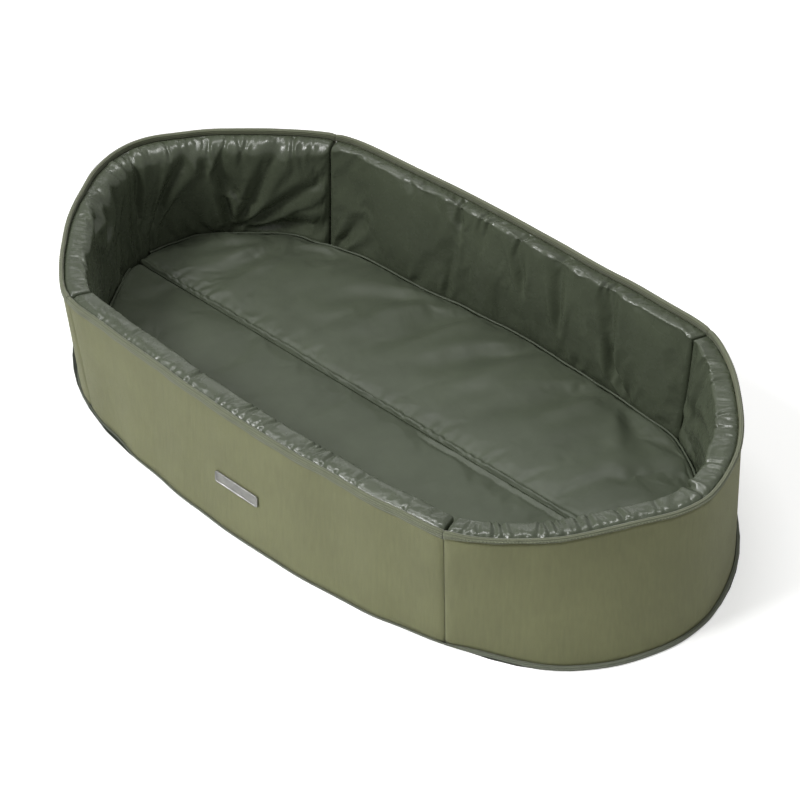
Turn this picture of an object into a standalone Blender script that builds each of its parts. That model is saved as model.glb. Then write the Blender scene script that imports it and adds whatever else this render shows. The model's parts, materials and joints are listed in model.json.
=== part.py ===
"""Padded oval unhooking mat: a foam-walled landing mat for fish, folded in half along its floor.

Metres, +Z up. X runs along the mat, Y across it, and the mat rests on the plane z = 0. The front long wall
is at -Y and the fold line at y = 0. Every wall piece is a cross-section carried along the oval, so a point of
it is given by its station on the oval, its depth inward from the rim's outer face and its height.
"""

import math

import bmesh
import bpy
import numpy as np
from mathutils import Vector

# The oval of the rim, measured over the outside of its binding.
RIM_LENGTH = 1.022
RIM_WIDTH = 0.535
WALL_HEIGHT = 0.190
SEAM_SPACING = 0.636
LENGTH_POWER = 3.5
WIDTH_POWER = 1.64

# How far the rim's corners at the seams stand out from the oval, and how far from a seam that reaches.
SEAM_CORNER = 0.0145
CORNER_REACH = 0.076

# How far the foot of the walls stands outside the rim.
FOOT_FLARE = 0.005
FOOT_SHIFT_ALONG = 0.0075
CORNER_BULGE = 0.017

# Fabrics, and the gap that lies between two layers.
SHELL_FABRIC = 0.0012
LINER_FABRIC = 0.0012
COVER_FABRIC = 0.0012
BASE_FABRIC = 0.0016
LAYER_GAP = 0.0003
JOIN_GAP = 0.0006

# Foam of the walls.
WALL_FOAM = 0.031
FOOT_FOAM_EXTRA = 0.005
WALL_CROWN = 0.007
WALL_CORNER_RADIUS = 0.009
FOAM_SPLIT = 0.003

# Floor cushions.
FLOOR_FOAM = 0.026
FLOOR_CROWN = 0.007
FLOOR_ROLL_RADIUS = 0.010
FLOOR_SIDE_GAP = 0.0015
CENTRE_GAP = 0.0018
WELT_DIAMETER = 0.005
WELT_SEAT = 0.0016
WELT_END_GAP = 0.028

# The bound seam that hangs between the two floor cushions.
SEAM_TAPE_THICKNESS = 0.0010
SEAM_TAPE_DEPTH = 0.013

# Binding tape of the rim, and the bound seam round the foot.
BINDING_TAPE = 0.0012
BINDING_OUTER_LEG = 0.013
BINDING_INNER_LEG = 0.006
FOOT_BINDING_WIDTH = 0.007
FOOT_BINDING_HEIGHT = 0.009
FOOT_BINDING_LIFT = 0.0006
FOOT_BINDING_EDGE = 0.0023

# Plate on the front wall: its middle is given from the middle of the rim and from the ground.
BADGE_LENGTH = 0.074
BADGE_HEIGHT = 0.017
BADGE_THICKNESS = 0.0022
BADGE_CORNER_RADIUS = 0.0035
BADGE_BORDER = 0.0018
BADGE_RECESS = 0.0006
BADGE_ALONG = 0.005
BADGE_LEVEL = 0.080

# Number of the stretch between the front-right seam and the tip at +X, counted from that tip.
FRONT_RIGHT_PANEL = 5

# Fineness of the meshes.
OVAL_SAMPLES = 1600
NORMAL_REACH = 9
SIDE_STEPS = 12
QUARTER_STEPS = 11
OUTER_ROWS = 3
INNER_ROWS = 5
CORNER_STEPS = 3
WELT_SIDES = 8
BADGE_CORNER_STEPS = 4
SHARP_EDGE_DEGREES = 40

# Each floor cushion's rings, as shares of the way from its edge to its middle line.
CROWN_RING_SHARES = (0.30, 0.55, 0.80)
# Shares of the turn from a cushion's long edge into its straight edge at the centre seam.
CUSHION_CORNER_SHARES = (0.35, 0.70, 1.00)
# Half the length of a cushion's middle line, as a share of half the rim's length.
SPINE_SHARE = 0.62
# Place of that line between the centre seam and the long edge.
SPINE_ACROSS_SHARE = 0.48

SHELL_BOTTOM = BASE_FABRIC + LAYER_GAP
FLARE_TOP = WALL_HEIGHT - BINDING_OUTER_LEG
LINER_TOP = WALL_HEIGHT - BINDING_INNER_LEG - LAYER_GAP
FOAM_TOP = LINER_TOP - LINER_FABRIC - LAYER_GAP
SHELL_DEPTH = BINDING_TAPE + LAYER_GAP
FOAM_DEPTH = SHELL_DEPTH + SHELL_FABRIC + LAYER_GAP
COVER_BOTTOM = BASE_FABRIC + LAYER_GAP
ROLL_TOP = COVER_BOTTOM + FLOOR_FOAM + LAYER_GAP + COVER_FABRIC
HINGE_HEIGHT = ROLL_TOP

# The foot stands out past the rim at the +X tip only, so the rim's middle lies this far from x = 0.
TIP_OVERHANG = (FOOT_FLARE + FOOT_SHIFT_ALONG) * (1 - FOOT_BINDING_LIFT / FLARE_TOP)
RIM_MIDDLE = -(TIP_OVERHANG + FOOT_BINDING_WIDTH + LAYER_GAP - SHELL_DEPTH) / 2

OLIVE = (0.205, 0.226, 0.124)
PVC = (0.052, 0.063, 0.042)
FLOOR_PVC = (0.087, 0.104, 0.075)
TAPE_GREEN = (0.290, 0.328, 0.223)
FOOT_GREY = (0.105, 0.115, 0.092)
FOAM_GREY = (0.120, 0.122, 0.118)
UNDERSIDE = (0.040, 0.046, 0.034)
PEWTER = (0.300, 0.300, 0.290)


def clear_scene():
    for obj in list(bpy.data.objects):
        bpy.data.objects.remove(obj, do_unlink=True)


def material(name, colour, roughness, metallic=0.0):
    made = bpy.data.materials.new(name)
    made.use_nodes = True
    shader = made.node_tree.nodes["Principled BSDF"]
    shader.inputs["Base Color"].default_value = (*colour, 1.0)
    shader.inputs["Roughness"].default_value = roughness
    shader.inputs["Metallic"].default_value = metallic
    return made


def signed_power(value, power):
    return np.sign(value) * np.abs(value) ** power


class Oval:
    """The rim's outer outline, read by its arc length, anticlockwise from the tip at +X.

    The cuts are the arc lengths of that tip, the two rear seams, the other tip and the two front seams.
    """

    def __init__(self):
        turn = np.linspace(0, 2 * math.pi, OVAL_SAMPLES + 1)
        plain = np.stack(
            [
                RIM_LENGTH / 2 * signed_power(np.cos(turn), 2 / LENGTH_POWER),
                RIM_WIDTH / 2 * signed_power(np.sin(turn), 2 / WIDTH_POWER),
            ],
            axis=1,
        )
        self.trace(plain)
        self.trace(self.points + self.normals * self.corner(self.arc)[:, None])
        self.points[:, 0] += RIM_MIDDLE

    def corner(self, arc):
        """How far the rim stands out from the plain oval: the foot has no such corners."""
        quarter = self.total / 4
        from_tip = np.abs((arc + quarter) % (2 * quarter) - quarter)
        return SEAM_CORNER * np.exp(-(((from_tip - self.cuts[1]) / CORNER_REACH) ** 2))

    def trace(self, points):
        """Reads an outline at even steps, with its outward normals and its cuts."""
        steps = np.linalg.norm(np.diff(points, axis=0), axis=1)
        length = np.concatenate([[0], np.cumsum(steps)])
        self.total = length[-1]
        self.arc = np.linspace(0, self.total, OVAL_SAMPLES + 1)
        self.points = np.stack([np.interp(self.arc, length, points[:, k]) for k in (0, 1)], axis=1)
        ahead = np.roll(self.points[:-1], -1, axis=0) - np.roll(self.points[:-1], 1, axis=0)
        normals = np.stack([ahead[:, 1], -ahead[:, 0]], axis=1)
        normals = sum(np.roll(normals, step, axis=0) for step in range(-NORMAL_REACH, NORMAL_REACH + 1))
        normals /= np.linalg.norm(normals, axis=1)[:, None]
        self.normals = np.concatenate([normals, normals[:1]])
        quarter = self.points[: OVAL_SAMPLES // 4]
        first = np.interp(-SEAM_SPACING / 2, -quarter[:, 0], self.arc[: OVAL_SAMPLES // 4])
        half = self.total / 2
        self.cuts = (0, first, half - first, half, half + first, self.total - first, self.total)

    def at(self, arc):
        """(point, outward normal) at an arc length."""
        point = [np.interp(arc, self.arc, self.points[:, k]) for k in (0, 1)]
        normal = np.array([np.interp(arc, self.arc, self.normals[:, k]) for k in (0, 1)])
        return np.array(point), normal / np.linalg.norm(normal)

    def panel_share(self, arc):
        """(panel's number, share of the way along it) for the six stretches between seams and tips."""
        number = min(int(np.searchsorted(self.cuts, arc, side="right")) - 1, len(self.cuts) - 2)
        start, end = self.cuts[number], self.cuts[number + 1]
        return number, (arc - start) / (end - start)


class Station:
    """One place on the oval: it turns (depth inward, height) into a point in space."""

    def __init__(self, oval, arc):
        self.point, self.normal = oval.at(arc)
        if abs(self.point[1]) < FOAM_SPLIT:
            self.normal = np.array([np.sign(self.point[0]), 0.0])
        panel, share = oval.panel_share(arc)
        self.flare = FOOT_FLARE + FOOT_SHIFT_ALONG * self.normal[0] - float(oval.corner(arc))
        if panel == FRONT_RIGHT_PANEL:
            self.flare += CORNER_BULGE * math.sin(math.pi * share) ** 2
        self.crown = WALL_CROWN * (1 - (2 * share - 1) ** 4)

    def out(self, height):
        """Depth of the shell's outer face: it lessens towards the foot, which stands out."""
        return SHELL_DEPTH - self.flare * (1 - min(height / FLARE_TOP, 1))

    def inner_face(self, height):
        """Depth of the foam's inner face, with its crown."""
        up = min(max((height - SHELL_BOTTOM) / (FOAM_TOP - SHELL_BOTTOM), 0), 1)
        swell = 4 * up * (1 - up) * self.crown
        return self.out(height) + FOAM_DEPTH - SHELL_DEPTH + WALL_FOAM + FOOT_FOAM_EXTRA * (1 - up) + swell

    def liner_face(self):
        """Depth of the liner's face where the floor cushion and its welt lie against it."""
        heights = (COVER_BOTTOM, ROLL_TOP, ROLL_TOP + WELT_DIAMETER)
        return max(self.inner_face(z) for z in heights) + LAYER_GAP + LINER_FABRIC

    def place(self, depth, height):
        x, y = self.point - self.normal * depth
        return Vector((x, y, height))


def arc_steps(start, end, count):
    return [start + (end - start) * k / count for k in range(count + 1)]


def stations(oval, start, end, count, gap=JOIN_GAP):
    """Stations from one cut of the oval to another, each end held back by half the join's gap."""
    return [Station(oval, arc % oval.total) for arc in arc_steps(start + gap / 2, end - gap / 2, count)]


def end_stations(oval, tip_arc, seam_before, seam_after):
    """Stations of a whole end wall, with one on its tip."""
    before = arc_steps(seam_before + JOIN_GAP / 2, tip_arc, QUARTER_STEPS)
    after = arc_steps(tip_arc, seam_after - JOIN_GAP / 2, QUARTER_STEPS)
    return [Station(oval, arc % oval.total) for arc in before + after[1:]]


def mesh_object(name, points, faces, look):
    """A closed mesh object whose faces are turned to point outward."""
    mesh = bpy.data.meshes.new(name)
    mesh.from_pydata([tuple(p) for p in points], [], faces)
    body = bmesh.new()
    body.from_mesh(mesh)
    bmesh.ops.recalc_face_normals(body, faces=body.faces)
    body.to_mesh(mesh)
    body.free()
    mesh.shade_smooth()
    mesh.set_sharp_from_angle(angle=math.radians(SHARP_EDGE_DEGREES))
    mesh.materials.append(look)
    obj = bpy.data.objects.new(name, mesh)
    bpy.context.scene.collection.objects.link(obj)
    return obj


def loft(name, places, section, look):
    """Carries a closed (depth, height) section along stations and caps both ends.

    Each quad is split from its lower or outer corner at one station to the other corner at the next, so that
    the faces of two layers that lie together stay parallel.
    """
    rings = [section(place) for place in places]
    size = len(rings[0])
    points = [place.place(*pair) for place, ring in zip(places, rings) for pair in ring]
    faces = []
    for k in range(len(rings) - 1):
        for j in range(size):
            after = (j + 1) % size
            lower, upper = j, after
            if (rings[k][j][1], rings[k][j][0]) > (rings[k][after][1], rings[k][after][0]):
                lower, upper = after, j
            near, far = k * size, (k + 1) * size
            faces.append((near + lower, near + upper, far + upper))
            faces.append((near + lower, far + upper, far + lower))
    faces.append(tuple(range(size)))
    faces.append(tuple((len(rings) - 1) * size + j for j in range(size)))
    return mesh_object(name, points, faces, look)


def outer_rows():
    foot = FOOT_BINDING_LIFT + FOOT_BINDING_HEIGHT
    return [SHELL_BOTTOM] + arc_steps(foot, FLARE_TOP, OUTER_ROWS) + [FOAM_TOP]


def inner_rows():
    return arc_steps(SHELL_BOTTOM, FOAM_TOP - WALL_CORNER_RADIUS, INNER_ROWS)


def rounded_corner(station, offset):
    """Points of the rounded edge from the foam's inner face up to its top, pushed out by an offset."""
    height = FOAM_TOP - WALL_CORNER_RADIUS
    centre = station.inner_face(height) - WALL_CORNER_RADIUS
    reach = WALL_CORNER_RADIUS + offset
    turns = [math.pi / 2 * k / CORNER_STEPS for k in range(1, CORNER_STEPS + 1)]
    return [(centre + reach * math.cos(turn), height + reach * math.sin(turn)) for turn in turns]


def foam_section(station):
    """Wall foam: flat outside, crowned inside, rounded at its inner top edge."""
    outside = [(station.out(z) + FOAM_DEPTH - SHELL_DEPTH, z) for z in outer_rows()]
    inside = [(station.inner_face(z), z) for z in inner_rows()]
    return outside[::-1] + inside + rounded_corner(station, 0.0)


def shell_section(station):
    """Outer fabric, from the base sheet up into the rim's binding."""
    heights = outer_rows() + [WALL_HEIGHT - BINDING_TAPE - LAYER_GAP]
    path = [(station.out(z), z) for z in heights]
    return path + [(depth + SHELL_FABRIC, z) for depth, z in reversed(path)]


def liner_section(station):
    """Coated liner: up the inner face, over the top of the foam and up into the rim's binding."""
    path = [(station.inner_face(z) + LAYER_GAP, z) for z in inner_rows()]
    path += rounded_corner(station, LAYER_GAP)
    fin = FOAM_DEPTH + LINER_FABRIC
    path += [(fin, FOAM_TOP + LAYER_GAP), (fin, WALL_HEIGHT - BINDING_TAPE - LAYER_GAP)]
    under = [(station.inner_face(z) + LAYER_GAP + LINER_FABRIC, z) for z in inner_rows()]
    under += rounded_corner(station, LAYER_GAP + LINER_FABRIC)
    under += [(fin, LINER_TOP), (fin, path[-1][1])]
    lower = path[:-2] + [(FOAM_DEPTH, path[-2][1]), (FOAM_DEPTH, path[-1][1])]
    return lower + under[::-1]


def rim_binding_section(station):
    """Tape folded over the top edges of shell and liner, with a longer leg outside."""
    outer = station.out(WALL_HEIGHT) - SHELL_DEPTH
    inner = FOAM_DEPTH + LINER_FABRIC + LAYER_GAP
    return [
        (outer, WALL_HEIGHT - BINDING_OUTER_LEG),
        (outer, WALL_HEIGHT - BINDING_TAPE / 2),
        (outer + BINDING_TAPE / 2, WALL_HEIGHT),
        (inner + BINDING_TAPE / 2, WALL_HEIGHT),
        (inner + BINDING_TAPE, WALL_HEIGHT - BINDING_TAPE / 2),
        (inner + BINDING_TAPE, WALL_HEIGHT - BINDING_INNER_LEG),
        (inner, WALL_HEIGHT - BINDING_INNER_LEG),
        (inner, WALL_HEIGHT - BINDING_TAPE),
        (outer + BINDING_TAPE, WALL_HEIGHT - BINDING_TAPE),
        (outer + BINDING_TAPE, WALL_HEIGHT - BINDING_OUTER_LEG),
    ]


def foot_binding_section(station):
    """Bound seam of shell and base sheet, a flattened roll against the foot of the shell."""
    low, high = FOOT_BINDING_LIFT, FOOT_BINDING_LIFT + FOOT_BINDING_HEIGHT
    near_low = station.out(low) - LAYER_GAP
    near_high = station.out(high) - LAYER_GAP
    far = station.out(low) - LAYER_GAP - FOOT_BINDING_WIDTH
    return [
        (near_low, low),
        (far + FOOT_BINDING_EDGE, low),
        (far, low + FOOT_BINDING_EDGE),
        (far, high - FOOT_BINDING_EDGE),
        (far + FOOT_BINDING_EDGE, high),
        (near_high, high),
    ]


def base_sheet(name, places, look):
    """Flat half of the underside, out to the face of the shell."""
    edge = [place.place(place.out(BASE_FABRIC), 0) for place in places]
    side = math.copysign(CENTRE_GAP / 2, edge[len(edge) // 2].y)
    outline = [Vector((p.x, p.y if abs(p.y) > abs(side) else side, 0)) for p in edge]
    return prism(name, outline, 0.0, BASE_FABRIC, look)


def prism(name, outline, low, high, look):
    """Upright solid over a flat outline."""
    count = len(outline)
    points = [(p.x, p.y, low) for p in outline] + [(p.x, p.y, high) for p in outline]
    faces = [tuple(range(count)), tuple(range(count, 2 * count))]
    faces += [(k, (k + 1) % count, count + (k + 1) % count, count + k) for k in range(count)]
    return mesh_object(name, points, faces, look)


def cushion_outline(places, inset):
    """Points round a half of the floor, between the walls' liner and the centre seam."""
    across = math.copysign(1, places[len(places) // 2].point[1])
    seam = CENTRE_GAP / 2 + inset
    edge = [place.place(place.liner_face() + FLOOR_SIDE_GAP + inset, 0) for place in places]
    kept = [p for p in edge if p.y * across > seam + FLOOR_ROLL_RADIUS]
    low = seam * across

    def corner(p, shares):
        reach = math.copysign(FLOOR_ROLL_RADIUS, p.x)
        return [Vector((p.x - reach * share**2, low + (p.y - low) * (1 - share) ** 2, 0)) for share in shares]

    corner_in = corner(kept[-1], CUSHION_CORNER_SHARES)
    corner_out = corner(kept[0], CUSHION_CORNER_SHARES[::-1])
    start, end = corner_in[-1], corner_out[0]
    middle = [start.lerp(end, k / (2 * SIDE_STEPS)) for k in range(1, 2 * SIDE_STEPS)]
    return kept + corner_in + middle + corner_out


def cushion_rings(places, inset):
    """Rings of a floor cushion from its foot, up its side, round its roll and over its crown."""
    outline = cushion_outline(places, inset)
    across = sum(p.y for p in outline) / len(outline)
    half_width = max(abs(p.y) for p in outline)
    half_spine = RIM_LENGTH / 2 * SPINE_SHARE
    spine_y = math.copysign(half_width * SPINE_ACROSS_SHARE, across)
    top = ROLL_TOP - inset
    radius = FLOOR_ROLL_RADIUS - inset

    def spine_of(p):
        along = min(max(p.x - RIM_MIDDLE, -half_spine), half_spine)
        return Vector((RIM_MIDDLE + along, spine_y, 0))

    def ring(distance, height):
        made = []
        for p in outline:
            inward = spine_of(p) - p
            made.append(p + inward.normalized() * distance + Vector((0, 0, height)))
        return made

    rings = [ring(0.0, COVER_BOTTOM), ring(0.0, top - radius)]
    turns = [math.pi / 2 * k / CORNER_STEPS for k in range(1, CORNER_STEPS + 1)]
    rings += [ring(radius * (1 - math.cos(a)), top - radius * (1 - math.sin(a))) for a in turns]
    rolled = rings[-1]
    for share in CROWN_RING_SHARES:
        rise = FLOOR_CROWN * (1 - (1 - share) ** 2)
        lift = Vector((0, 0, rise))
        rings.append([p.lerp(spine_of(p) + Vector((0, 0, top)), share) + lift for p in rolled])
    return rings


def ring_faces(ring_count, size, offset=0):
    faces = []
    for k in range(ring_count - 1):
        for j in range(size):
            a, b = offset + k * size + j, offset + k * size + (j + 1) % size
            c, d = a + size, b + size
            faces += [(a, b, d), (a, d, c)]
    return faces


def floor_foam(name, places, look):
    rings = cushion_rings(places, COVER_FABRIC + LAYER_GAP)
    size = len(rings[0])
    points = [p for ring in rings for p in ring]
    faces = ring_faces(len(rings), size)
    faces += [tuple(range(size)), tuple((len(rings) - 1) * size + j for j in range(size))]
    return mesh_object(name, points, faces, look)


def floor_cover(name, places, look):
    """Coated cover of a floor cushion: a thin lid round its top and sides, open underneath."""
    outer = cushion_rings(places, 0.0)
    inner = cushion_rings(places, COVER_FABRIC)
    size = len(outer[0])
    points = [p for ring in outer + inner for p in ring]
    under = len(outer) * size
    faces = ring_faces(len(outer), size) + ring_faces(len(inner), size, under)
    faces.append(tuple((len(outer) - 1) * size + j for j in range(size)))
    faces.append(tuple(under + (len(inner) - 1) * size + j for j in range(size)))
    faces += [(j, (j + 1) % size, under + (j + 1) % size, under + j) for j in range(size)]
    return mesh_object(name, points, faces, look)


def floor_welt(name, places, look):
    """Thin round welt that follows the roll of a floor cushion along the walls."""
    radius = WELT_DIAMETER / 2
    turns = [2 * math.pi * k / WELT_SIDES for k in range(WELT_SIDES)]

    def section(place):
        wall = place.liner_face()
        depth = wall + LAYER_GAP + radius
        roll = wall + FLOOR_SIDE_GAP + FLOOR_ROLL_RADIUS
        away = FLOOR_ROLL_RADIUS + LAYER_GAP + radius
        rise = math.sqrt(away**2 - (roll - depth) ** 2)
        height = ROLL_TOP - FLOOR_ROLL_RADIUS + rise + WELT_SEAT - LAYER_GAP
        return [(depth + radius * math.cos(a), height + radius * math.sin(a)) for a in turns]

    return loft(name, places, section, look)


def centre_seam_tape(places, look):
    """Upright strip between the cushions' straight edges, as long as those edges."""
    outline = cushion_outline(places, 0.0)
    low = min(p.x for p in outline) + FLOOR_ROLL_RADIUS
    high = max(p.x for p in outline) - FLOOR_ROLL_RADIUS
    top = HINGE_HEIGHT - LAYER_GAP
    half = SEAM_TAPE_THICKNESS / 2
    corners = [(low, -half), (high, -half), (high, half), (low, half)]
    outline = [Vector((x, y, 0)) for x, y in corners]
    return prism("centre_seam_tape", outline, top - SEAM_TAPE_DEPTH, top, look)


def rounded_rectangle(length, height, radius):
    points = []
    for quadrant, (sx, sy) in enumerate(((1, 1), (-1, 1), (-1, -1), (1, -1))):
        centre = (sx * (length / 2 - radius), sy * (height / 2 - radius))
        for k in range(BADGE_CORNER_STEPS + 1):
            turn = math.pi / 2 * (quadrant + k / BADGE_CORNER_STEPS)
            points.append((centre[0] + radius * math.cos(turn), centre[1] + radius * math.sin(turn)))
    return points


def badge_plate(oval, look):
    """Bare plate with a raised border, flat against the front wall's shell."""
    front = (oval.arc >= oval.cuts[4]) & (oval.arc <= oval.cuts[5])
    arc = np.interp(RIM_MIDDLE + BADGE_ALONG, oval.points[front, 0], oval.arc[front])
    place = Station(oval, arc)
    outline = rounded_rectangle(BADGE_LENGTH, BADGE_HEIGHT, BADGE_CORNER_RADIUS)
    field = rounded_rectangle(
        BADGE_LENGTH - 2 * BADGE_BORDER, BADGE_HEIGHT - 2 * BADGE_BORDER, BADGE_CORNER_RADIUS - BADGE_BORDER
    )
    back = place.out(BADGE_LEVEL) - LAYER_GAP
    along = Vector((-place.normal[1], place.normal[0], 0))
    tilt = place.flare / FLARE_TOP

    def spot(pair, proud):
        height = BADGE_LEVEL + pair[1]
        return place.place(back - proud + tilt * pair[1], height) + along * pair[0]

    points = [spot(pair, 0) for pair in outline] + [spot(pair, BADGE_THICKNESS) for pair in outline]
    points += [spot(pair, BADGE_THICKNESS) for pair in field]
    points += [spot(pair, BADGE_THICKNESS - BADGE_RECESS) for pair in field]
    size = len(outline)
    faces = ring_faces(4, size)
    faces += [tuple(range(size)), tuple(3 * size + j for j in range(size))]
    return mesh_object("badge_plate", points, faces, look)


def build():
    clear_scene()
    shell = material("olive_woven_nylon", OLIVE, 0.80)
    liner = material("pvc_coated_liner", PVC, 0.42)
    floor = material("pvc_coated_floor", FLOOR_PVC, 0.40)
    tape = material("ribbed_binding_tape", TAPE_GREEN, 0.75)
    foot = material("foot_binding_tape", FOOT_GREY, 0.75)
    foam = material("closed_cell_foam", FOAM_GREY, 0.95)
    under = material("underside_nylon", UNDERSIDE, 0.80)
    pewter = material("pewter_plate", PEWTER, 0.45, 0.8)

    oval = Oval()
    right_tip, rear_right, rear_left, left_tip, front_left, front_right, full = oval.cuts
    sides = {
        "rear": stations(oval, rear_right, rear_left, SIDE_STEPS),
        "front": stations(oval, front_left, front_right, SIDE_STEPS),
    }
    ends = {
        "right": end_stations(oval, full, front_right, full + rear_right),
        "left": end_stations(oval, left_tip, rear_left, front_left),
    }
    quarters = {}
    for end, places in ends.items():
        tip = full if end == "right" else left_tip
        first, second = ("front", "rear") if end == "right" else ("rear", "front")
        cut = [Station(oval, (tip + side * FOAM_SPLIT / 2) % oval.total) for side in (-1, 1)]
        quarters[f"{end}_{first}"] = places[:QUARTER_STEPS] + cut[:1]
        quarters[f"{end}_{second}"] = cut[1:] + places[QUARTER_STEPS + 1 :]
    halves = {
        "rear": quarters["right_rear"] + sides["rear"] + quarters["left_rear"],
        "front": quarters["left_front"] + sides["front"] + quarters["right_front"],
    }

    welted = {
        side: [place for place in places if abs(place.point[1]) > WELT_END_GAP]
        for side, places in halves.items()
    }

    moving = []
    for side, places in sides.items():
        made = [
            loft(f"wall_foam_{side}", places, foam_section, foam),
            loft(f"wall_liner_{side}", places, liner_section, liner),
            loft(f"wall_shell_{side}", places, shell_section, shell),
            loft(f"rim_binding_{side}", places, rim_binding_section, tape),
            loft(f"foot_binding_{side}", places, foot_binding_section, foot),
            base_sheet(f"base_sheet_{side}", halves[side], under),
            floor_foam(f"floor_foam_{side}", halves[side], foam),
            floor_cover(f"floor_cover_{side}", halves[side], floor),
            floor_welt(f"floor_welt_{side}", welted[side], floor),
        ]
        moving += made if side == "front" else []
    for end, places in ends.items():
        loft(f"end_liner_{end}", places, liner_section, liner)
        loft(f"end_shell_{end}", places, shell_section, shell)
        loft(f"rim_binding_{end}", places, rim_binding_section, tape)
        loft(f"foot_binding_{end}", places, foot_binding_section, foot)
    for quarter, places in quarters.items():
        made = loft(f"end_foam_{quarter}", places, foam_section, foam)
        moving += [made] if quarter.endswith("front") else []

    centre_seam_tape(halves["rear"], tape)
    moving.append(badge_plate(oval, pewter))

    hinge = bpy.data.objects.new("front_half_hinge", None)
    hinge.location = (0, 0, HINGE_HEIGHT)
    bpy.context.scene.collection.objects.link(hinge)
    bpy.context.view_layer.update()
    for obj in moving:
        obj.parent = hinge
        obj.matrix_parent_inverse = hinge.matrix_world.inverted()


build()
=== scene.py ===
"""A padded oval unhooking mat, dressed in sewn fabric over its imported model.

Metres, +Z up. X runs along the mat, Y across it and the front long wall is at -Y. A place on a wall is given by
its arc length along the rim, its depth inward from the rim's outer face and its height.
"""

import json
import math

import bmesh
import bpy
import numpy as np
from bpy.props import FloatProperty, FloatVectorProperty, PointerProperty
from bpy.types import Operator, Panel, PropertyGroup
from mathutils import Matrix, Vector


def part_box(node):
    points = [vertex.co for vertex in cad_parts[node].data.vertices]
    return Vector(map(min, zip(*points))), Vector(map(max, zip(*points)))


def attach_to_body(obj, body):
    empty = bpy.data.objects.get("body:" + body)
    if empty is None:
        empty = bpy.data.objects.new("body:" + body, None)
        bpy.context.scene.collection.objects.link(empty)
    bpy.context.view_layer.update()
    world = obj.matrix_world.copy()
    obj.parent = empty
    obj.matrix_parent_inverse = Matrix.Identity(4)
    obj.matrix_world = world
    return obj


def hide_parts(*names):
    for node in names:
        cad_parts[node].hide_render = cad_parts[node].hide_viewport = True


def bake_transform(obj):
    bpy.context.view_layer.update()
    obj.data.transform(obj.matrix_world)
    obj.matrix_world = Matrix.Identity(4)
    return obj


bl_info = {
    "name": "Padded unhooking mat",
    "version": (1, 0, 0),
    "blender": (4, 5, 0),
    "location": "3D View > Sidebar > Mat",
    "description": "Dresses an oval foam-walled mat in sewn, coated and woven fabric",
    "category": "Add Mesh",
}

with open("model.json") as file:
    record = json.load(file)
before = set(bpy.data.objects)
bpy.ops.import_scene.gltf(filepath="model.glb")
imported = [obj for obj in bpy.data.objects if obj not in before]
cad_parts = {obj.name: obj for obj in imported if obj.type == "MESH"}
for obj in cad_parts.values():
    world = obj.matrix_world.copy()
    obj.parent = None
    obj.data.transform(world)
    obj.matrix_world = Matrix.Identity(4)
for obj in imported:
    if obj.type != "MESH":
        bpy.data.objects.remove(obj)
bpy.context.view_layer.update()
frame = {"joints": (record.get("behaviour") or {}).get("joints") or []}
REAR, FRONT = "rear_half", "front_half"

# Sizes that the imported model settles.
RIM_LOW_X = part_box("rim_binding_left")[0][0]
RIM_HIGH_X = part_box("rim_binding_right")[1][0]
RIM_LENGTH = RIM_HIGH_X - RIM_LOW_X
RIM_MIDDLE = (RIM_LOW_X + RIM_HIGH_X) / 2
RIM_WIDTH = 2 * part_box("rim_binding_rear")[1][1]
WALL_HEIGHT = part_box("rim_binding_rear")[1][2]
HINGE_HEIGHT = frame["joints"][0]["pos_m"][2]
BASE_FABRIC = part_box("base_sheet_rear")[1][2]
PLATE_LOW, PLATE_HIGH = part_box("badge_plate")

# The oval's outline and its four upright seams.
SEAM_SPACING = 0.636
LENGTH_POWER = 3.5
WIDTH_POWER = 1.64
SEAM_CORNER = 0.0145
CORNER_REACH = 0.076
OVAL_SAMPLES = 1600
NORMAL_REACH = 14

# Fabric, and the gap between two layers.
FABRIC = 0.0012
LAYER_GAP = 0.0003
JOIN_GAP = 0.0006
SHELL_DEPTH = FABRIC + LAYER_GAP
PAD_DEPTH = SHELL_DEPTH + FABRIC + LAYER_GAP
SHELL_BOTTOM = BASE_FABRIC + LAYER_GAP

# Binding tape of the rim.
OUTER_LEG = 0.011
INNER_LEG = 0.0045
END_LEG_LOSS = 0.006
FLARE_TOP = WALL_HEIGHT - 0.013

# The coated liner's roll over the wall's top, on the walls near the camera, the rear wall and the left end:
# length of the tape's inner leg, rise beside it and that rise's breadth, fall from there to the inner edge, and
# that edge's radius.
NEAR_ROLL = (INNER_LEG, 0.0080, 0.0042, 0.0058, 0.0045)
REAR_ROLL = (0.0085, 0.0006, 0.0013, -0.0052, 0.0042)
LEFT_ROLL = (0.0085, 0.0022, 0.0016, 0.0000, 0.0210)
PAD_TOP = WALL_HEIGHT - INNER_LEG
GROOVE_GAP = 0.0005
GROOVE_DEPTH = PAD_DEPTH + 2 * FABRIC + LAYER_GAP + 0.0002
SEAM_TUCK = 0.0045
SEAM_TUCK_REACH = 0.0045

# Fineness of the meshes.
COLUMN_STEP = 0.0027
ROW_STEP = 0.0045
HIDDEN_ROWS = 4
TOP_ROWS = 13
EDGE_ROWS = 6

# The photograph's camera.
PHOTO_SIZE = 800
SENSOR = 36.0
LENS = 116.1
CAMERA_AZIMUTH = math.radians(42.63)
CAMERA_ELEVATION = math.radians(40.10)
CAMERA_DISTANCE = 3.4
CAMERA_TARGET = (-0.0388 + RIM_MIDDLE + 0.0124, 0.0515, 0.0)

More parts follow.
